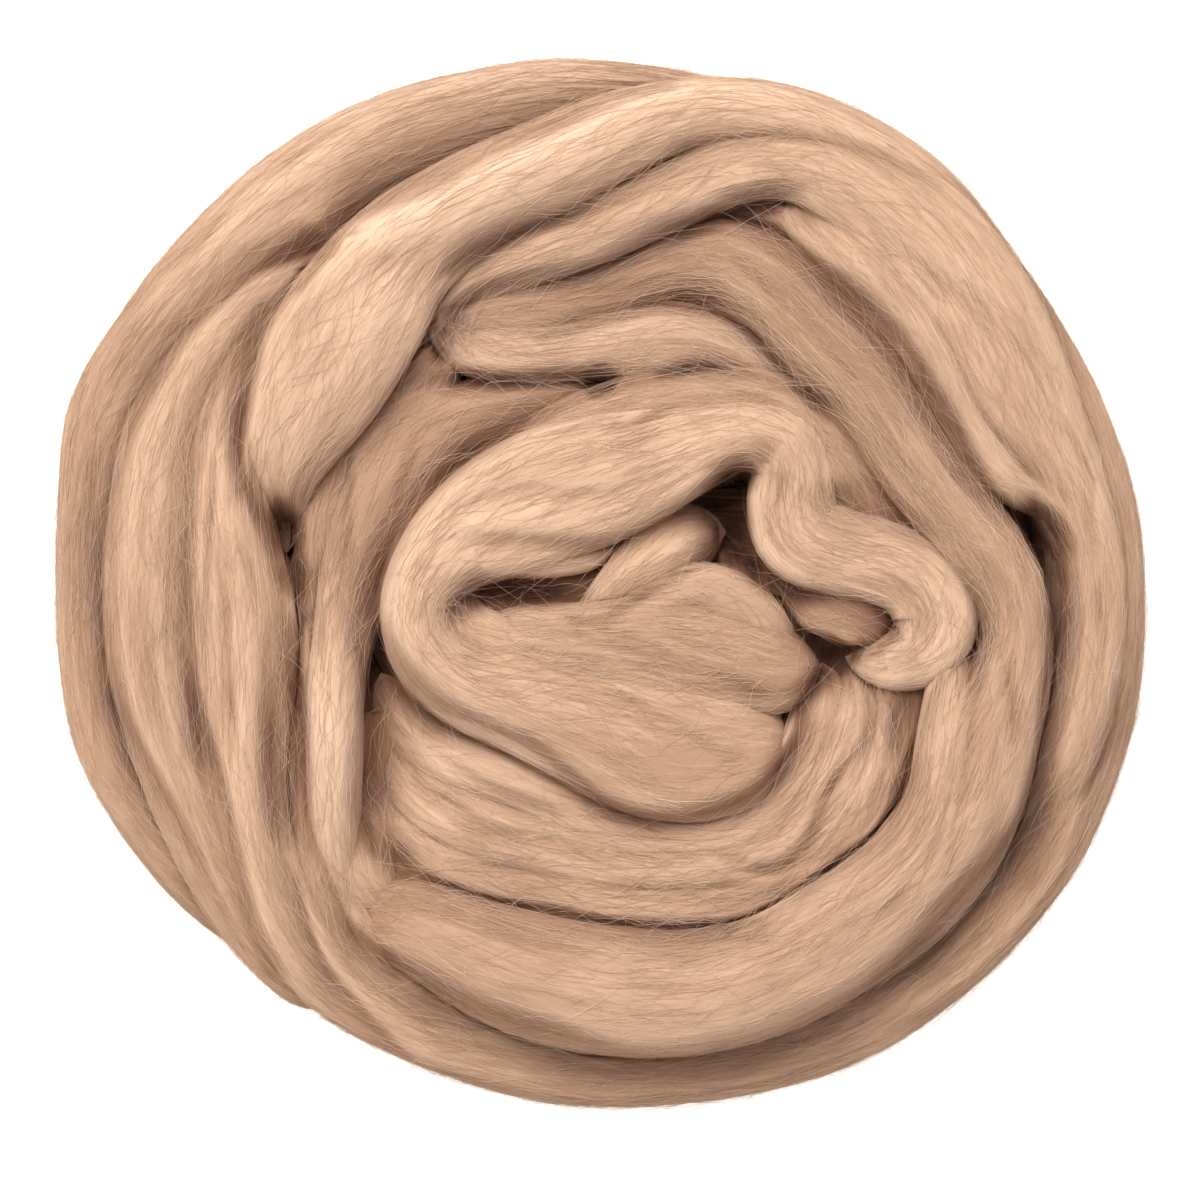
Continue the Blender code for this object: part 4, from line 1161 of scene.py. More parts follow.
    def shows(self, points: Array, outward: Array) -> Array:
        """Finds what can be seen from above or from beside the nest.

        Args:
            points: the points.
            outward: their normals.

        Returns:
            Whether each point can be.
        """
        top = points[..., 2] > self.highest[self.cells(points)] - self.SEEN_UNDER
        side = away(points) > self.reach[self.beside(points)] - self.SEEN_INSIDE
        return np.where(outward[..., 2] > self.UP, top, side)


# --- Finishes ---

Colour = tuple[float, float, float]


@dataclass(frozen=True)
class WoolFinish:
    """A shade of combed wool; the cream and cocoa shades are partly painted lit and shaded copies of the
    camel.
    """

    light: Colour  # colour of its palest fibres
    main: Colour  # its usual colour
    deep: Colour  # colour of its darkest fibres
    nest: Colour = (0.5, 0.385, 0.335)  # painted shade: what the colour is multiplied by deep in a crease
    roughness: float = 0.85  # how matt it is
    diffuse_roughness: float = 0.6  # how evenly it scatters light
    bump: float = 0.25  # depth of its finest grooves


# The cream finish is partly a painted lit copy of the wool, and the cocoa finish partly a painted shaded
# copy.
FINISHES = {
    Tone.CREAM_LIT: WoolFinish((0.82, 0.605, 0.44), (0.71, 0.485, 0.335), (0.53, 0.33, 0.215)),
    Tone.CAMEL: WoolFinish((0.77, 0.555, 0.4), (0.655, 0.44, 0.298), (0.47, 0.285, 0.185)),
    Tone.COCOA_SHADED: WoolFinish((0.7, 0.485, 0.342), (0.58, 0.375, 0.252), (0.42, 0.25, 0.16)),
}
PALEST_FIBRE = (0.93, 0.77, 0.61)
SHUT, OPEN = 0.2, 0.97  # openness at which wool has the full painted crease shade, and none of it
FINE_SWING = 0.1  # how much the finest streaks change the tone
STRAND_SWING = 0.13  # how much the wider ones do
HAIR_LIFT = 0.14  # how much paler a single pale fibre is
STREAK_NOISE = (0.3, 0.7)  # the noise between which streaks go from darkest to palest
HAIR_NOISE = (0.6, 0.74)  # and a pale fibre from nothing to palest
STREAK_TEXTURE = {"Scale": 1.0, "Detail": 1.0, "Roughness": 0.6, "Distortion": 0.4}
MIX_FACTOR, MIX_A, MIX_B, MIX_RESULT = 0, 6, 7, 2  # sockets of a node that mixes colours


class Web:
    """A node tree that is built node by node."""

    def __init__(self, tree: bpy.types.NodeTree) -> None:
        """Args:
        tree: the tree that nodes are added to.
        """
        self.tree = tree

    @classmethod
    def group(cls, name: str, takes: dict[str, str], gives: dict[str, str]) -> "Web":
        """Starts a node group.

        Args:
            name: its name.
            takes: the name and type of each input.
            gives: the name and type of each output.

        Returns:
            The web of the group's own nodes.
        """
        tree = bpy.data.node_groups.new(name, "ShaderNodeTree")
        for way, sockets in (("INPUT", takes), ("OUTPUT", gives)):
            for label, kind in sockets.items():
                tree.interface.new_socket(label, in_out=way, socket_type=f"NodeSocket{kind}")
        return cls(tree)

    def add(
        self, kind: str, inputs: dict[str | int, Any] | None = None, **settings: Any
    ) -> bpy.types.NodeOutputs:
        """Adds a node.

        Args:
            kind: its type.
            inputs: what goes into its inputs: values, or the outputs of other nodes.
            settings: its own settings, which are made first.

        Returns:
            Its outputs.
        """
        node = self.tree.nodes.new(kind)
        for name, value in settings.items():
            setattr(node, name, value)
        for name, value in (inputs or {}).items():
            if isinstance(value, bpy.types.NodeSocket):
                self.tree.links.new(value, node.inputs[name])
            else:
                node.inputs[name].default_value = value
        return node.outputs

    def span(self, value: bpy.types.NodeSocket, *ends: float, **settings: Any) -> Any:
        """A value mapped from between the first two of the ends to the last two."""
        labels = ("From Min", "From Max", "To Min", "To Max")
        inputs = {"Value": value, **dict(zip(labels, ends))}
        return self.add("ShaderNodeMapRange", inputs, **settings)["Result"]

    def mean(self, first: bpy.types.NodeSocket, second: bpy.types.NodeSocket) -> Any:
        """The mean of two values."""
        return self.add("ShaderNodeMix", {"Factor": 0.5, "A": first, "B": second})["Result"]

    def total(self, first: Any, second: Any, **settings: Any) -> Any:
        """The sum of two values."""
        return self.add("ShaderNodeMath", {0: first, 1: second}, operation="ADD", **settings)[0]

    def ramp(self, value: bpy.types.NodeSocket, *stops: tuple[float, Colour]) -> Any:
        """The colour that a ramp gives a value.

        Args:
            value: the value.
            stops: each of the ramp's stops and its colour, in order.

        Returns:
            The output that has the colour.
        """
        outputs = self.add("ShaderNodeValToRGB", {"Fac": value})
        elements = outputs[0].node.color_ramp.elements
        for position, colour in stops[1:-1]:
            elements.new(position).color = (*colour, 1)
        for end in (0, -1):
            elements[end].position, elements[end].color = stops[end][0], (*stops[end][1], 1)
        return outputs["Color"]


def crease_shade_group() -> bpy.types.NodeTree:
    """The node group that paints shade into wool's colour where it lies in a crease.

    Returns:
        A group that takes a colour, the painted shade colour that it is multiplied by in a crease, and
        how open the place is, and puts out the colour with that shade painted in.
    """
    takes = {"Color": "Color", "Crease Shade": "Color", "Openness": "Float"}
    web = Web.group("painted_crease_shade", takes, {"Color": "Color"})
    entry = web.add("NodeGroupInput")
    # How much painted shade the place gets, from its openness.
    depth = web.span(entry["Openness"], SHUT, OPEN, 1.0, 0.0, interpolation_type="SMOOTHSTEP")
    shade_painted = web.add(
        "ShaderNodeMix",
        {MIX_FACTOR: depth, MIX_A: entry["Color"], MIX_B: entry["Crease Shade"]},
        data_type="RGBA",
        blend_type="MULTIPLY",
    )
    web.add("NodeGroupOutput", {"Color": shade_painted[MIX_RESULT]})
    return web.tree


def streak_group() -> bpy.types.NodeTree:
    """The node group of fine combed streaks, which every lock's wool uses.

    Returns:
        A group that takes a UV vector and the tone of the place, and puts out a tone, from
        0, deep, to 1, light, and a height for a bump.
    """
    takes = {"Vector": "Vector", "Shade": "Float"}
    web = Web.group("combed_streaks", takes, {"Tone": "Float", "Height": "Float"})
    entry = web.add("NodeGroupInput")

    def streaks(lean: float, along: float, across: float) -> bpy.types.NodeSocket:
        """Noise drawn out along the wool.

        Args:
            lean: angle to the wool's run, in degrees.
            along: streaks to each UV unit along the wool.
            across: streaks to each UV unit across it.

        Returns:
            The output that has the noise.
        """
        turned = {"Vector": entry["Vector"], "Rotation": (0, 0, math.radians(lean))}
        vector = web.add("ShaderNodeMapping", turned)["Vector"]
        drawn = {"Vector": vector, "Scale": (along, across, 1)}
        noise = {"Vector": web.add("ShaderNodeMapping", drawn)["Vector"], **STREAK_TEXTURE}
        return web.add("ShaderNodeTexNoise", noise, noise_dimensions="2D")["Fac"]

    fine = web.mean(streaks(3.0, 7, 290), streaks(-6.0, 9, 400))
    strand = web.mean(streaks(-3.0, 8, 125), streaks(5.0, 11, 180))
    hairs = streaks(-9.0, 6, 150)
    tone = web.total(
        web.span(fine, *STREAK_NOISE, -FINE_SWING, FINE_SWING),
        web.span(strand, *STREAK_NOISE, -STRAND_SWING, STRAND_SWING),
    )
    tone = web.total(tone, web.span(hairs, *HAIR_NOISE, 0.0, HAIR_LIFT))
    tone = web.total(tone, entry["Shade"], use_clamp=True)
    web.add("NodeGroupOutput", {"Tone": tone, "Height": web.mean(fine, strand)})
    return web.tree


class WoolWorks:
    """Makes the wool materials from their shared node groups."""

    DEEP, MAIN, LIGHT = 0.15, 0.5, 0.9  # tones that have a finish's own colours

    def __init__(self) -> None:
        """Builds the shared groups."""
        self.streaks = streak_group()
        # The group that paints shade into the creases.
        self.nest = crease_shade_group()

    def lock_wool(self, tone: Tone) -> bpy.types.Material:
        """A lock's wool: its tone is streaked along the lock, with painted shade in the creases.

        Args:
            tone: the shade of wool.

        Returns:
            The material.
        """
        finish = FINISHES[tone]
        material, web = self.blank(f"{tone.value}_wool")
        uv = web.add("ShaderNodeUVMap", uv_map="UVMap")["UV"]
        shade, openness = (
            web.add("ShaderNodeAttribute", attribute_name=name)["Fac"]
            for name in (SHADE, OPENNESS)
        )
        streaks = web.add("ShaderNodeGroup", {"Vector": uv, "Shade": shade}, node_tree=self.streaks)
        colour = web.ramp(
            streaks["Tone"],
            (self.DEEP, finish.deep),
            (self.MAIN, finish.main),
            (self.LIGHT, finish.light),
        )
        bump = {"Height": streaks["Height"], "Distance": finish.bump * MM, "Strength": 1.0}
        normal = web.add("ShaderNodeBump", bump)["Normal"]
        self.surface(web, finish, {"Color": colour, "Openness": openness}, {"Normal": normal})
        return material

    def fibre_wool(self) -> bpy.types.Material:
        """The loose fibres' wool: each one's UV map holds its shade and its openness, which sets the
        shade painted in over the creases.

        Returns:
            The material.
        """
        finish = FINISHES[Tone.CREAM_LIT]
        material, web = self.blank("fibre_wool")
        uv = web.add("ShaderNodeUVMap", uv_map="UVMap")["UV"]
        split = web.add("ShaderNodeSeparateXYZ", {"Vector": uv})
        colour = web.ramp(
            split["X"],
            (0.0, FINISHES[Tone.COCOA_SHADED].deep),
            (0.35, FINISHES[Tone.CAMEL].main),
            (0.7, finish.light),
            (1.0, PALEST_FIBRE),
        )
        self.surface(web, finish, {"Color": colour, "Openness": split["Y"]}, {})
        return material

    def blank(self, name: str) -> tuple[bpy.types.Material, Web]:
        """Starts a material.

        Args:
            name: its name.

        Returns:
            The material, and the web of its nodes, which is still empty.
        """
        material = bpy.data.materials.new(name)
        material.use_nodes = True
        material.node_tree.nodes.clear()
        return material, Web(material.node_tree)

    def surface(
        self, web: Web, finish: WoolFinish, nested: dict[str, Any], extra: dict[str, Any]
    ) -> None:
        """Paints shade into a colour in the creases and gives it to a matt shader.

        Args:
            web: the material's web.
            finish: the wool.
            nested: the colour in the open, and how open the place is, which sets how much shade is
                painted in.
            extra: what else goes into the shader.
        """
        # The painted shade colour that wool takes deep in a crease.
        nested = {"Crease Shade": (*finish.nest, 1), **nested}
        colour = web.add("ShaderNodeGroup", nested, node_tree=self.nest)["Color"]
        matt = {
            "Base Color": colour,
            "Roughness": finish.roughness,
            "Metallic": 0.0,
            "Diffuse Roughness": finish.diffuse_roughness,
            "Specular IOR Level": 0.0,
        }
        shader = web.add("ShaderNodeBsdfPrincipled", matt | extra)
        web.add("ShaderNodeOutputMaterial", {"Surface": shader["BSDF"]})


# --- Fibres ---


@dataclass
class Fibres:
    """Fine fibres that are laid together as one piece."""

    name: str  # the piece's name
    rings: int = 3  # rings of points along each fibre, evenly spaced between its two tips
    # The fibres, as tuples of arrays: the paths, fibres by stations by x, y and z, which way is
    # up at each station, the radii, the shades, and the openness.
    laid: list[tuple[Array, ...]] = field(default_factory=list)

    SIDES = 3
    FLOOR_GAP = 0.05  # mm, how far the lowest fibre stands off the resting plane
    THINNER = 0.25  # share of its radius that a fibre loses from its middle to its ends

    def stations(self) -> Array:
        """Where along a fibre, from 0 to 1, its stations are, tips and all, as a row."""
        return np.linspace(0, 1, self.rings + 2)[None]

    def add(self, kept: Array, *parts: Array) -> None:
        """Adds those fibres that are kept, from the arrays that laid has."""
        self.laid.append(tuple(part[kept] for part in parts))

    def model(self) -> bpy.types.Object:
        """Models one straight fibre along Z, pointed at both ends.

        Returns:
            The fibre, from -1 to 1, with its rings between -0.5 and 0.5.
        """
        select_nothing()
        bpy.ops.mesh.primitive_cylinder_add(
            vertices=self.SIDES, radius=1, depth=1, end_fill_type="TRIFAN"
        )
        fibre = bpy.context.object
        mesh = fibre.data
        for vert in mesh.vertices:
            if math.hypot(vert.co.x, vert.co.y) < 0.5:  # the middle of an end
                vert.co.z *= 2
        bpy.ops.object.mode_set(mode="EDIT")
        bpy.ops.mesh.select_mode(type="EDGE")
        bpy.ops.mesh.select_all(action="DESELECT")
        bpy.ops.object.mode_set(mode="OBJECT")
        for edge in mesh.edges:
            first, second = (mesh.vertices[i].co for i in edge.vertices)
            edge.select = abs(first.z - second.z) > 0.9  # from one end to the other
        bpy.ops.object.mode_set(mode="EDIT")
        if self.rings > 2:
            bpy.ops.mesh.subdivide(number_cuts=self.rings - 2)
        bpy.ops.object.mode_set(mode="OBJECT")
        return fibre

    def build(self) -> bpy.types.Object:
        """Copies the modelled fibre along every path and joins the copies.

        Returns:
            The piece.
        """
        fibre = self.model()
        mesh = fibre.data
        place = np.array([vert.co for vert in mesh.vertices])
        station = np.rint((place[:, 2] + 0.5) * (self.rings - 1)).astype(int) + 1
        tip = away(place) < 0.5
        station = np.where(tip, np.where(place[:, 2] > 0, self.rings + 1, 0), station)
        angle = np.arctan2(place[:, 1], place[:, 0])
        corners = np.array([loop.vertex_index for loop in mesh.loops])
        starts = np.array([face.loop_start for face in mesh.polygons])
        bpy.data.objects.remove(fibre)
        path, up, radius, shade, openness = (np.concatenate(part) for part in zip(*self.laid))
        count = len(path)

        forward = unit(np.gradient(path, axis=1))
        sideways = unit(np.cross(up, forward))
        above = np.cross(forward, sideways)
        along = np.linspace(-1, 1, self.rings)
        taper = np.concatenate([[0], 1 - self.THINNER * along**2, [0]])
        swell = radius[:, None, None] * taper[station][None, :, None]
        points = path[:, station] + swell * (
            np.cos(angle)[None, :, None] * sideways[:, station]
            + np.sin(angle)[None, :, None] * above[:, station]
        )
        points[..., 2] = np.maximum(points[..., 2], self.FLOOR_GAP)

        joined = bpy.data.meshes.new(self.name)
        joined.vertices.add(count * len(place))
        joined.loops.add(count * len(corners))
        joined.polygons.add(count * len(starts))
        joined.vertices.foreach_set("co", (points * MM).astype(np.float32).ravel())
        for layer, name, index, size in (
            (joined.loops, "vertex_index", corners, len(place)),
            (joined.polygons, "loop_start", starts, len(corners)),
        ):
            copies = index[None] + np.arange(count)[:, None] * size
            layer.foreach_set(name, copies.astype(np.int32).ravel())
        joined.update(calc_edges=True)
        layer = joined.uv_layers.new(name="UVMap")
        unwrapped = np.empty((count, len(corners), 2), np.float32)
        unwrapped[..., 0] = shade[:, None]
        unwrapped[..., 1] = openness[:, station[corners]]
        layer.data.foreach_set("uv", unwrapped.ravel())
        piece = bpy.data.objects.new(self.name, joined)
        bpy.context.scene.collection.objects.link(piece)
        joined.shade_smooth()
        return piece


def end_rise(t: Array, head: Array, tail: Array) -> Array:
    """How far fibres rise towards their ends.

    Args:
        t: their stations, from 0 to 1, as a row.
        head: how far each one rises where it starts.
        tail: how far each one rises where it ends.

    Returns:
        The rise of each fibre, as rows, at each station.
    """
    ends = np.where(t > 0.5, tail[:, None], head[:, None])
    return ends * (2 * t - 1) ** 2


def shown_places(
    skins: list[Skin], heap: Heap, steepest: float, rim: float = math.inf
) -> tuple[Array, ...]:
    """Gathers the places on the skins that fibres can start from.

    Args:
        skins: every lock's skin.
        heap: the heap.
        steepest: the steepest slope among them, as the height of its normal.
        rim: how near the nest's outline they are.

    Returns:
        The places, their normals, which way the wool runs on there, and their openness.
    """
    found = []
    for skin in skins:
        seen = heap.shows(skin.points, skin.outward) & (skin.outward[..., 2] > steepest)
        seen &= away(skin.points) > heap.outline(skin.points) - rim
        run_on = np.gradient(skin.points, axis=0)
        found.append([part[seen] for part in (skin.points, skin.outward, run_on, skin.openness)])
    return tuple(np.concatenate(part) for part in zip(*found))


@dataclass
class Combing:
    """How the fibres lie on the locks."""

    density: float = 26.0  # fibres to each square centimetre of skin, before the hidden ones go
    length: tuple[float, float] = (14.0, 38.0)  # shortest and longest fibre
    lean: float = 4.0  # spread of the angle to the lock's run, in degrees
    bow: float = 0.7  # spread of the sideways bow
    wave: float = 0.25  # spread of the sideways wave
    lift: tuple[float, float] = (0.02, 0.1)  # mean and spread of how far one stands off the lock
    ends: tuple[float, float] = (-0.1, 0.1)  # mean and spread of how much further its ends do
    radius: tuple[float, float] = (0.032, 0.07)  # thinnest and thickest fibre's radius
    shade: tuple[float, float] = (0.52, 0.14)  # mean and spread of its tone
    stray_share: float = 0.4  # share of the fibres that lean much more and stand off the lock
    seed: int = 5  # seeds it all

    # What a stray's length, its lean, its bow and wave, and its radius are multiplied by.
    STRAY_LENGTH, STRAY_LEAN, STRAY_BOW, STRAY_RADIUS = 0.6, 4.5, 2, 0.75
    STRAY_LIFT, STRAY_ENDS = 0.15, (-0.2, 1.6)  # mm, how much further it and its ends stand off
    STRAY_SHADE = 0.1  # how much lighter it is
    OVERHANG = 0.3  # share of a fibre's length that may lie past its lock's end

    def lay(self, lock: Lock, skin: Skin, heap: Heap, into: Fibres) -> None:
        """Lays fibres along a lock where it shows.

        Args:
            lock: the lock.
            skin: its skin.
            heap: what lies over and beside it.
            into: the fibres that they join.
        """
        rng = np.random.default_rng(self.seed + lock.seed)
        low, high = skin.girth[0], skin.girth[skin.last_shown]
        whole = skin.along[-1]
        count = round(whole * (high - low) / 100 * self.density)
        length = rng.uniform(*self.length, count)
        start = rng.uniform(-self.OVERHANG * length, whole - (1 - self.OVERHANG) * length)
        middle = rng.uniform(low, high, count)
        strays = rng.random(count) < self.stray_share
        length = length * np.where(strays, self.STRAY_LENGTH, 1)
        lean = rng.normal(0, self.lean, count) * np.where(strays, self.STRAY_LEAN, 1)
        bow = rng.normal(0, self.bow, count) * np.where(strays, self.STRAY_BOW, 1)
        wave = rng.normal(0, self.wave, count) * np.where(strays, self.STRAY_BOW, 1)
        lift = np.abs(rng.normal(*self.lift, count)) + np.where(strays, self.STRAY_LIFT, 0.0)
        head, tail = (
            rng.normal(*self.ends, count) + strays * rng.uniform(*self.STRAY_ENDS, count)
            for _ in range(2)
        )
        shade = np.clip(rng.normal(*self.shade, count) + self.STRAY_SHADE * strays, 0, 1)
        radius = rng.uniform(*self.radius, count) * np.where(strays, self.STRAY_RADIUS, 1)

        t = into.stations()
        along = np.clip(start[:, None] + length[:, None] * t, 0, whole)
        slant = np.tan(np.radians(lean))[:, None] * length[:, None] * (t - 0.5)
        girth = middle[:, None] + slant + bow[:, None] * np.sin(math.pi * t)
        girth = girth + wave[:, None] * np.sin(3 * math.pi * t)
        girth = np.clip(girth, skin.girth[0], skin.girth[-1])
        outward = unit(skin.read(skin.outward, along, girth))
        height = lift[:, None] + end_rise(t, head, tail)
        path = skin.read(skin.points, along, girth) + outward * height[..., None]
        openness = skin.read(skin.openness, along, girth)

        seen = np.zeros(count, bool)
        for station in range(1, into.rings + 1):
            seen |= heap.shows(path[:, station], outward[:, station])
        into.add(seen, path, outward, radius, shade, openness)


@dataclass
class Wisps:
    """Stray fibres that wander over the nest and bridge its creases."""

    count: int = 3600  # how many there are
    length: tuple[float, float] = (8.0, 26.0)  # shortest and longest
    lean: float = 0.42  # spread of the angle to the wool's run, in radians
    curl: float = 0.5  # spread of how far one turns from end to end, in radians
    wave: float = 0.35  # spread of how far it waves off its bearing, in radians
    waves: float = 1.3  # how many waves it has
    lift: tuple[float, float] = (0.05, 0.22)  # mean and spread of how far it stands off the wool
    ends: tuple[float, float] = (0.1, 0.5)  # mean and spread of how much further its ends do
    radius: tuple[float, float] = (0.026, 0.045)  # thinnest and thickest radius
    shade: tuple[float, float] = (0.68, 0.16)  # mean and spread of its tone
    seed: int = 77  # seeds it all

    STEEPEST = 0.3  # slope that one can start from, as the height of its normal
    DROP = 7.0  # mm, the most that one drops from end to end
    LOWEST = 20.0  # mm, the height under which there is none
    OPENNESS = (0.4, 0.95)  # how much of the sky one sees, over a deep crease and at most, which sets its painted crease shade
    GLOOM_DEPTH = 18.0  # mm of a crease's depth that would hide the whole sky

    def lay(self, skins: list[Skin], heap: Heap, into: Fibres) -> None:
        """Lays the wisps over the heap.

        Args:
            skins: every lock's skin, whose runs the wisps roughly follow.
            heap: the heap.
            into: the fibres that they join.
        """
        rng = np.random.default_rng(self.seed)
        place, _, run_on, _ = shown_places(skins, heap, self.STEEPEST)
        heading = np.arctan2(run_on[:, 1], run_on[:, 0])
        pick = rng.integers(0, len(place), self.count)
        length = rng.uniform(*self.length, self.count)
        lean, curl, wave = (
            rng.normal(0, spread, self.count) for spread in (self.lean, self.curl, self.wave)
        )
        phase = rng.uniform(0, 2 * math.pi, self.count)
        t = into.stations()
        bearing = (
            (heading[pick] + lean)[:, None]
            + curl[:, None] * (t - 0.5)
            + wave[:, None] * np.sin(2 * math.pi * self.waves * t + phase[:, None])
        )
        step = np.diff(t, axis=1) * length[:, None]
        middle = (bearing[:, 1:] + bearing[:, :-1]) / 2
        ahead = np.stack([np.cos(middle), np.sin(middle)], axis=-1) * step[..., None]
        path = np.zeros((self.count, t.shape[1], 3))
        path[:, 1:, :2] = np.cumsum(ahead, axis=1)
        centre = path[:, into.rings // 2 + 1, :2].copy()
        path[..., :2] += (place[pick][:, :2] - centre)[:, None]
        lift = np.abs(rng.normal(*self.lift, self.count))
        head, tail = rng.normal(*self.ends, (2, self.count))
        roof = heap.read(heap.roof, path)
        path[..., 2] = roof + lift[:, None] + end_rise(t, head, tail)
        up = np.zeros_like(path)
        up[..., 2] = 1
        radius = rng.uniform(*self.radius, self.count)
        shade = np.clip(rng.normal(*self.shade, self.count), 0, 1)
        depth = roof - heap.read(heap.smooth, path)
        least, most = self.OPENNESS
        openness = np.clip(most - depth / self.GLOOM_DEPTH, least, most)
        whole = (roof.min(axis=1) > self.LOWEST) & (np.ptp(roof, axis=1) < self.DROP)
        into.add(whole, path, up, radius, shade, openness)


@dataclass
class Fuzz:
    """Short fine fibres that stand a little off the wool at all angles, rim and all."""

    count: int = 6500  # how many there are
    length: tuple[float, float] = (4.0, 11.0)  # shortest and longest
    turn: float = 0.8  # spread of the angle to the wool's run, in radians
    curl: float = 0.9  # spread of how far one turns from end to end, in radians
    radius: tuple[float, float] = (0.02, 0.036)  # thinnest and thickest radius
    shade: tuple[float, float] = (0.64, 0.15)  # mean and spread of its tone
    stand: float = 0.55  # how far off the wool a fibre's ends stand
    rim: float = math.inf  # how near the nest's outline the fibres start
    seed: int = 91  # seeds it all

    STEEPEST = -0.3  # slope that one can start from, as the height of its normal
    LEVEL = 0.5  # the slope from which one stays over what it crosses
    LIFT, OVER = 0.03, 0.02  # mm, how far it stands off the wool, and off what it crosses
    SUNK = 0.05  # mm, how far the ends that stand off least are sunk
    RAISED = 1.6  # mm, the most that one is raised over what it crosses

    def lay(self, skins: list[Skin], heap: Heap, into: Fibres) -> None:
        """Lays the fuzz over the heap.

        Args:
            skins: every lock's skin.
            heap: the heap.
            into: the fibres that they join.
        """
        rng = np.random.default_rng(self.seed)
        place, outward, ahead, openness = shown_places(skins, heap, self.STEEPEST, self.rim)
        pick = rng.integers(0, len(place), self.count)
        outward, ahead = unit(outward[pick]), unit(ahead[pick])
        across = unit(np.cross(outward, ahead))
        turn = rng.normal(0, self.turn, self.count)
        curl = rng.normal(0, self.curl, self.count)
        length = rng.uniform(*self.length, self.count)
        head, tail = np.abs(rng.normal(0, self.stand, (2, self.count))) - self.SUNK
        t = into.stations()
        bearing = turn[:, None] + curl[:, None] * (t - 0.5)
        reach = length[:, None] * (t - 0.5)
        rise = self.LIFT + end_rise(t, head, tail)
        path = (
            place[pick][:, None]
            + (reach * np.cos(bearing))[..., None] * ahead[:, None]
            + (reach * np.sin(bearing))[..., None] * across[:, None]
            + rise[..., None] * outward[:, None]
        )
        roof = heap.read(heap.roof, path)
        level = outward[:, 2] > self.LEVEL
        raised = np.maximum(roof + self.OVER - path[..., 2], 0) * level[:, None]
        path[..., 2] += raised
        kept = raised.max(axis=1) < self.RAISED
        up, opened = (np.repeat(part[:, None], t.shape[1], axis=1) for part in (outward, openness[pick]))
        radius = rng.uniform(*self.radius, self.count)
        shade = np.clip(rng.normal(*self.shade, self.count), 0, 1)
        into.add(kept, path, up, radius, shade, opened)


# --- The nest's sub-assemblies ---


@dataclass
class Winding:
    """Some of the nest's locks, built and dressed together."""

    fibre_name: str = "fibres"  # the name of the piece of fibres on them
    locks: tuple[Lock, ...] = ()  # the locks, in the order that they are built
    combing: Combing = field(default_factory=Combing)  # how their fibres lie
    skins: list[Skin] = field(default_factory=list)  # each lock's skin, once it is laid

    def lay(self) -> None:
        """Lays the locks where the strand goes."""
        self.skins = [lock.lay() for lock in self.locks]

    def build(self, heap: Heap, materials: dict[Tone, bpy.types.Material]) -> None:
        """Builds the locks and dresses each in its tone.

        Args:
            heap: all the locks, nestled together.
            materials: the wool for each tone.
        """
        for lock, skin in zip(self.locks, self.skins):
            skin.openness = heap.openness(skin)
            piece = lock.roll(skin)
            piece.data.materials.clear()
            piece.data.materials.append(materials[lock.tone])
            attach(piece, BODY)
            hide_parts(SOLID_NODE)
            log.info("wool: %s, %d faces", piece.name, len(piece.data.polygons))

    def comb(self, heap: Heap, material: bpy.types.Material) -> None:
        """Lays the fibres on the locks.

        Args:
            heap: all the locks.
            material: the fibres' wool.
        """
        fibres = Fibres(self.fibre_name)
        for lock, skin in zip(self.locks, self.skins):
            self.combing.lay(lock, skin, heap, fibres)
        dress_fibres(fibres, material)


def dress_fibres(fibres: Fibres, material: bpy.types.Material) -> None:
    """Builds fibres, gives them their wool and seats them on the nest.

    Args:
        fibres: the fibres.
        material: their wool.
    """
    piece = fibres.build()
    piece.data.materials.append(material)
    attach(piece, BODY)
    log.info("fibres: %s, %d faces", piece.name, len(piece.data.polygons))


@dataclass
class OuterTurns(Winding):
    """The outermost turn and the turns beside it."""

    fibre_name: str = "outer_turn_fibres"
    locks: tuple[Lock, ...] = (
        # Their tables of tone along the locks paint light and shade: lighter where a lock lies high in
        # the light, darker where it lies low in shadow.
        Lock("outer_turn", OUTER_TURN, Tone.CAMEL, 11, outer=True, tone_and_painted_light=(
            (0, 0), (0.2, 0.42), (0.38, 0.08), (0.5, -0.04), (0.6, -0.3), (0.75, -0.24),
            (1, -0.06),
        )),
        Lock("left_turn", LEFT_TURN, Tone.CAMEL, 12, tone_and_painted_light=(
            (0, 0), (0.3, -0.12), (0.55, -0.12), (0.7, 0), (1, 0),
        )),
        Lock("low_turn", LOW_TURN, Tone.COCOA_SHADED, 13),
        Lock("low_left", LOW_LEFT, Tone.COCOA_SHADED, 14),
    )


@dataclass
class LongTurn(Winding):
    """The long turn over the top of the others."""

    fibre_name: str = "long_turn_fibres"
    locks: tuple[Lock, ...] = (
        # Its table of tone along the lock paints light where it rises into the light and shade where it
        # sinks into shadow.
        Lock("long_turn", LONG_TURN, Tone.CREAM_LIT, 21, outer=True, column_step=0.74, tone_and_painted_light=(
            (0, -0.1), (0.13, -0.26), (0.3, -0.2), (0.42, -0.26), (0.5, -0.32), (0.56, 0),
            (0.68, -0.08), (0.78, 0.08), (0.9, 0.14), (0.94, -0.08), (1, -0.1),
        )),
    )


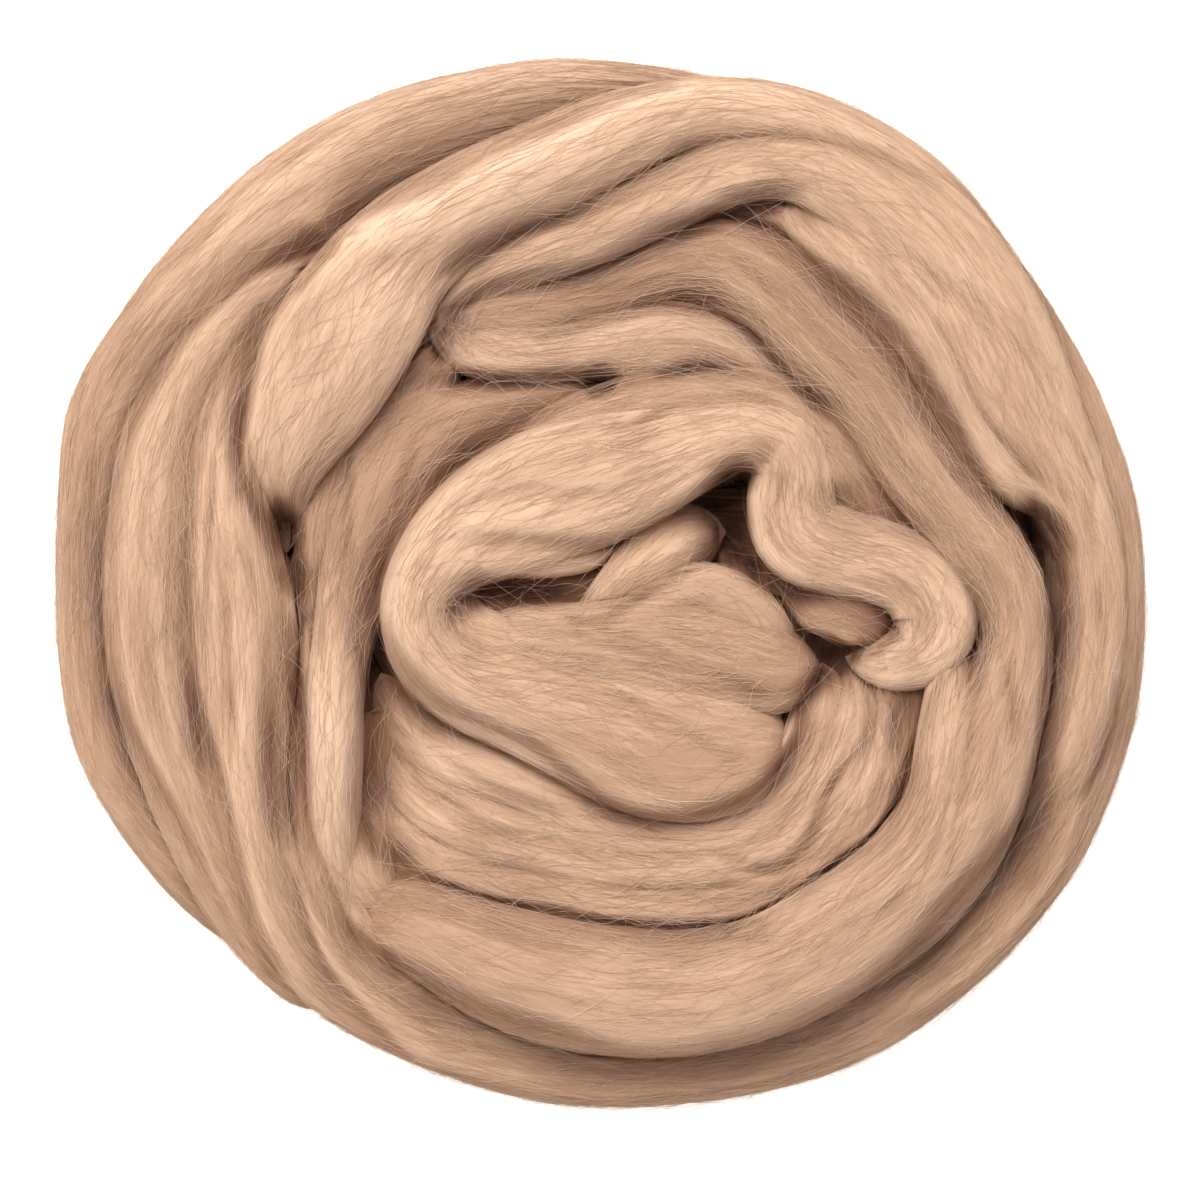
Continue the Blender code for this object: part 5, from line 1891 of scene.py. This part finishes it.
@dataclass
class InnerTurns(Winding):
    """The inner turn, the right turn and their neighbours, round the heart."""

    fibre_name: str = "inner_turn_fibres"
    locks: tuple[Lock, ...] = (
        # Their tables of tone along the locks paint shade where they lie in shadow and light where they
        # rise into it.
        Lock("inner_turn", INNER_TURN, Tone.COCOA_SHADED, 31, tone_and_painted_light=(
            (0, -0.2), (0.06, -0.12), (0.1, 0.1), (0.2, 0.12), (0.24, -0.08), (0.32, -0.24),
            (0.5, -0.42), (0.6, -0.06), (0.7, 0.04), (0.85, 0.08), (0.93, -0.22), (1, -0.36),
        )),
        Lock("inner_ridge", INNER_RIDGE, Tone.CAMEL, 38),
        Lock("right_turn", RIGHT_TURN, Tone.CAMEL, 32, outer=True),
        Lock("right_lock", RIGHT_LOCK, Tone.CAMEL, 33),
        Lock("tucked_turn", TUCKED_TURN, Tone.CREAM_LIT, 34, tone_and_painted_light=(
            (0, -0.3), (0.5, -0.36), (0.64, 0.05), (0.75, 0.42), (0.9, 0.3), (1, 0),
        )),
        Lock("cradle_inner", CRADLE_INNER, Tone.CAMEL, 35),
        Lock("cradle_middle", CRADLE_MIDDLE, Tone.CAMEL, 36),
        Lock("cradle_outer", CRADLE_OUTER, Tone.CAMEL, 37),
        Lock("low_pocket", LOW_POCKET, Tone.COCOA_SHADED, 39),
    )


@dataclass
class Heart(Winding):
    """The arm and its hooked end, the fan and the small locks in the middle of the nest."""

    fibre_name: str = "heart_fibres"
    locks: tuple[Lock, ...] = (
        # Their tables of tone along the locks paint shade in the hollows and where the wool slopes away
        # from the light.
        Lock("heart_arm", HEART_ARM, Tone.CREAM_LIT, 41, tone_and_painted_light=(
            (0, -0.06), (0.3, -0.04), (0.4, -0.02), (0.58, 0), (0.65, 0.14), (0.74, -0.04),
            (0.85, -0.28), (1, -0.3),
        )),
        Lock("heart_fan", HEART_FAN, Tone.CAMEL, 42, tone_and_painted_light=((0, -0.04), (0.5, -0.28), (1, -0.4))),
        Lock("heart_brow", HEART_BROW, Tone.COCOA_SHADED, 43),
        Lock("heart_shoulder", HEART_SHOULDER, Tone.CAMEL, 44, tone_and_painted_light=((0, -0.34),)),
        Lock("heart_tongue", HEART_TONGUE, Tone.COCOA_SHADED, 45, tone_and_painted_light=((0, -0.36),)),
        Lock("heart_tuft", HEART_TUFT, Tone.CREAM_LIT, 46),
        Lock("heart_lip", HEART_LIP, Tone.CAMEL, 49),
        Lock("heart_fold", HEART_FOLD, Tone.CAMEL, 52),
        Lock("low_heart", LOW_HEART, Tone.COCOA_SHADED, 47, tone_and_painted_light=(
            (0, -0.1), (0.14, -0.25), (0.2, -0.25), (0.28, -0.3), (0.4, -0.1), (1, 0),
        )),
    )


@dataclass
class UnderTurns(Winding):
    """The lowest layer: the strand coiled flat from the outline to the middle."""

    fibre_name: str = "under_turn_fibres"
    half_across: float = 100.0  # half the nest's width along X
    half_deep: float = 95.5  # half the nest's width along Y
    trim: float = 1.0  # how far the outline of the layer stands inside the nest's
    inset: float = 15.0  # how far the middle of the coil's first turn stands inside that outline
    pitch: float = 23.0  # how far each later turn stands inside the last
    core: float = 2.0  # how near the middle of the nest the coil comes
    width: float = 26.0  # the coil's width
    turns: float = 4.3  # how many turns it has
    rows_a_turn: int = 24  # sections in each turn
    start: float = 100.0  # where the coil starts, in degrees from the X axis
    crown: float = 27.0  # height of its first turn
    climb: float = 2.0  # how much higher each of the next climbing turns is
    climbing: float = 3.0  # how many those are
    sunk: float = 3.0  # how far the coil's section reaches below the resting plane

    def __post_init__(self) -> None:
        """Winds the coil as the layer's one lock, with a coarser skin than the rest."""
        coarse = {"row_step": 3.2, "column_step": 1.7}
        self.locks = (Lock("under_coil", self.coil(), Tone.CAMEL, 51, outer=True, **coarse),)

    def coil(self) -> tuple[Section, ...]:
        """Winds the coil from the outline inwards.

        Returns:
            Its sections.
        """
        made = []
        for i in range(round(self.turns * self.rows_a_turn) + 1):
            turn = i / self.rows_a_turn
            angle = 2 * math.pi * turn + math.radians(self.start)
            inset = self.inset + self.pitch * max(0.0, turn - 1)
            reach = max(self.core, self.outline(angle) - inset)
            crown = self.crown + self.climb * min(turn, self.climbing)
            x, y = reach * math.cos(angle), reach * math.sin(angle)
            made.append(Section(x, y, crown, self.width, crown + self.sunk))
        return tuple(made)

    def outline(self, angle: float) -> float:
        """How far the layer's outline is from the origin at an angle in plan."""
        across = math.cos(angle) / self.half_across
        deep = math.sin(angle) / self.half_deep
        return 1.0 / math.hypot(across, deep) - self.trim


PICTURE_WIDTH = 1200  # pixels
PICTURE_SCALE = 5.5  # pixels to each millimetre of wool


@dataclass
class Studio:
    """The plain pale floor, the soft lights and the camera above, in metres."""

    frame_width: float = PICTURE_WIDTH / PICTURE_SCALE * MM  # what the camera sees at the wool
    frame_centre: tuple[float, float] = (0.0, -2.7 * MM)  # the middle of the picture, in plan
    wool_height: float = 35 * MM  # height at which that width is measured
    distance: float = 1.4  # from the camera down to that height
    sensor: float = 36.0  # the camera's sensor width, in millimetres
    clip: tuple[float, float] = (0.05, 20)  # nearest and furthest that the camera sees
    floor_size: float = 6  # the floor's width
    floor_drop: float = 0.2 * MM  # how far it lies under the resting plane, clear of the wool
    key_size: float = 1.1  # diameter of the key light
    key_place: tuple[float, float, float] = (-0.38, 0.62, 1.45)  # it shines on the origin
    key_power: float = 24.5  # its power, in watts
    key_colour: Colour = (1.0, 0.995, 0.985)  # its colour
    surround: float = 0.57  # brightness of the pale surround

    FLOOR_LOOKS = {
        "Base Color": (0.96, 0.96, 0.96, 1),
        "Roughness": 0.9,
        "Specular IOR Level": 0.1,
        "Emission Color": (1.0, 1.0, 1.0, 1),
        "Emission Strength": 0.6,
    }

    def build(self) -> None:
        """Makes the floor, lights and camera."""
        self.floor()
        self.lights()
        self.camera()

    def floor(self) -> None:
        """Makes the pale floor."""
        select_nothing()
        bpy.ops.mesh.primitive_plane_add(size=self.floor_size, location=(0, 0, -self.floor_drop))
        plane = bpy.context.object
        plane.name = "floor"
        material = bpy.data.materials.new("pale_floor")
        material.use_nodes = True
        shader = material.node_tree.nodes["Principled BSDF"]
        for name, value in self.FLOOR_LOOKS.items():
            shader.inputs[name].default_value = value
        plane.data.materials.append(material)

    def lights(self) -> None:
        """Makes a large soft light high at the upper left and a pale surround."""
        data = bpy.data.lights.new("key", "AREA")
        data.shape = "DISK"
        data.size = self.key_size
        data.energy = self.key_power
        data.color = self.key_colour
        key = bpy.data.objects.new("key", data)
        key.location = self.key_place
        aim = Vector((0, 0, 0)) - Vector(key.location)
        key.rotation_euler = aim.to_track_quat("-Z", "Y").to_euler()
        bpy.context.scene.collection.objects.link(key)
        world = bpy.data.worlds.new("surround")
        world.use_nodes = True
        background = world.node_tree.nodes["Background"]
        background.inputs["Color"].default_value = (1.0, 1.0, 1.0, 1)
        background.inputs["Strength"].default_value = self.surround
        bpy.context.scene.world = world

    def camera(self) -> None:
        """Makes a camera with a long lens straight above the nest."""
        data = bpy.data.cameras.new("camera")
        data.sensor_width = self.sensor
        data.lens = self.sensor * self.distance / self.frame_width
        data.clip_start, data.clip_end = self.clip
        camera = bpy.data.objects.new("camera", data)
        camera.location = (*self.frame_centre, self.wool_height + self.distance)
        bpy.context.scene.collection.objects.link(camera)
        bpy.context.scene.camera = camera
        bpy.context.scene.view_settings.view_transform = "Standard"
        bpy.context.scene.view_settings.look = "None"


def write_sizes() -> None:
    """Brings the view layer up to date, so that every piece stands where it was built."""
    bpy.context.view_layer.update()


def heap_up(windings: list[Winding]) -> tuple[list[Skin], Heap]:
    """Lays the locks, nestles them together and presses their creases in.

    Args:
        windings: the windings, in order.

    Returns:
        Every lock's skin, and the heap that they make.
    """
    for winding in windings:
        winding.lay()
    skins = [skin for winding in windings for skin in winding.skins]
    loose_heap = Heap(skins)
    relief = Relief(loose_heap.HALF, loose_heap.CELL)
    for rows in CREASES:
        relief.add_crease(rows)
    for hollow in HOLLOWS:
        relief.add_hollow(hollow)
    rise = relief.rise()
    for index, skin in enumerate(skins):
        loose_heap.nestle(index, skin)
        loose_heap.press(skin, rise)
        skin.face_outwards()
    return skins, Heap(skins)


def main() -> None:
    """Builds the nest and the studio, in order."""
    logging.basicConfig(level=logging.INFO, format="%(name)s: %(message)s")
    Studio().build()
    works = WoolWorks()
    materials = {tone: works.lock_wool(tone) for tone in Tone}
    fibre_wool = works.fibre_wool()
    windings = [UnderTurns(), OuterTurns(), LongTurn(), InnerTurns(), Heart()]
    skins, heap = heap_up(windings)
    for winding in windings:
        winding.build(heap, materials)
        winding.comb(heap, fibre_wool)
    wisps = Fibres("wisps", rings=5)
    Wisps().lay(skins, heap, wisps)
    dress_fibres(wisps, fibre_wool)
    fuzz = Fibres("fuzz", rings=2)
    Fuzz().lay(skins, heap, fuzz)
    halo = Fuzz(3200, length=(3.0, 8.0), radius=(0.016, 0.03), stand=1.5, rim=2.0, seed=92)
    halo.lay(skins, heap, fuzz)
    dress_fibres(fuzz, fibre_wool)
    write_sizes()


if __name__ == "__main__":
    main()
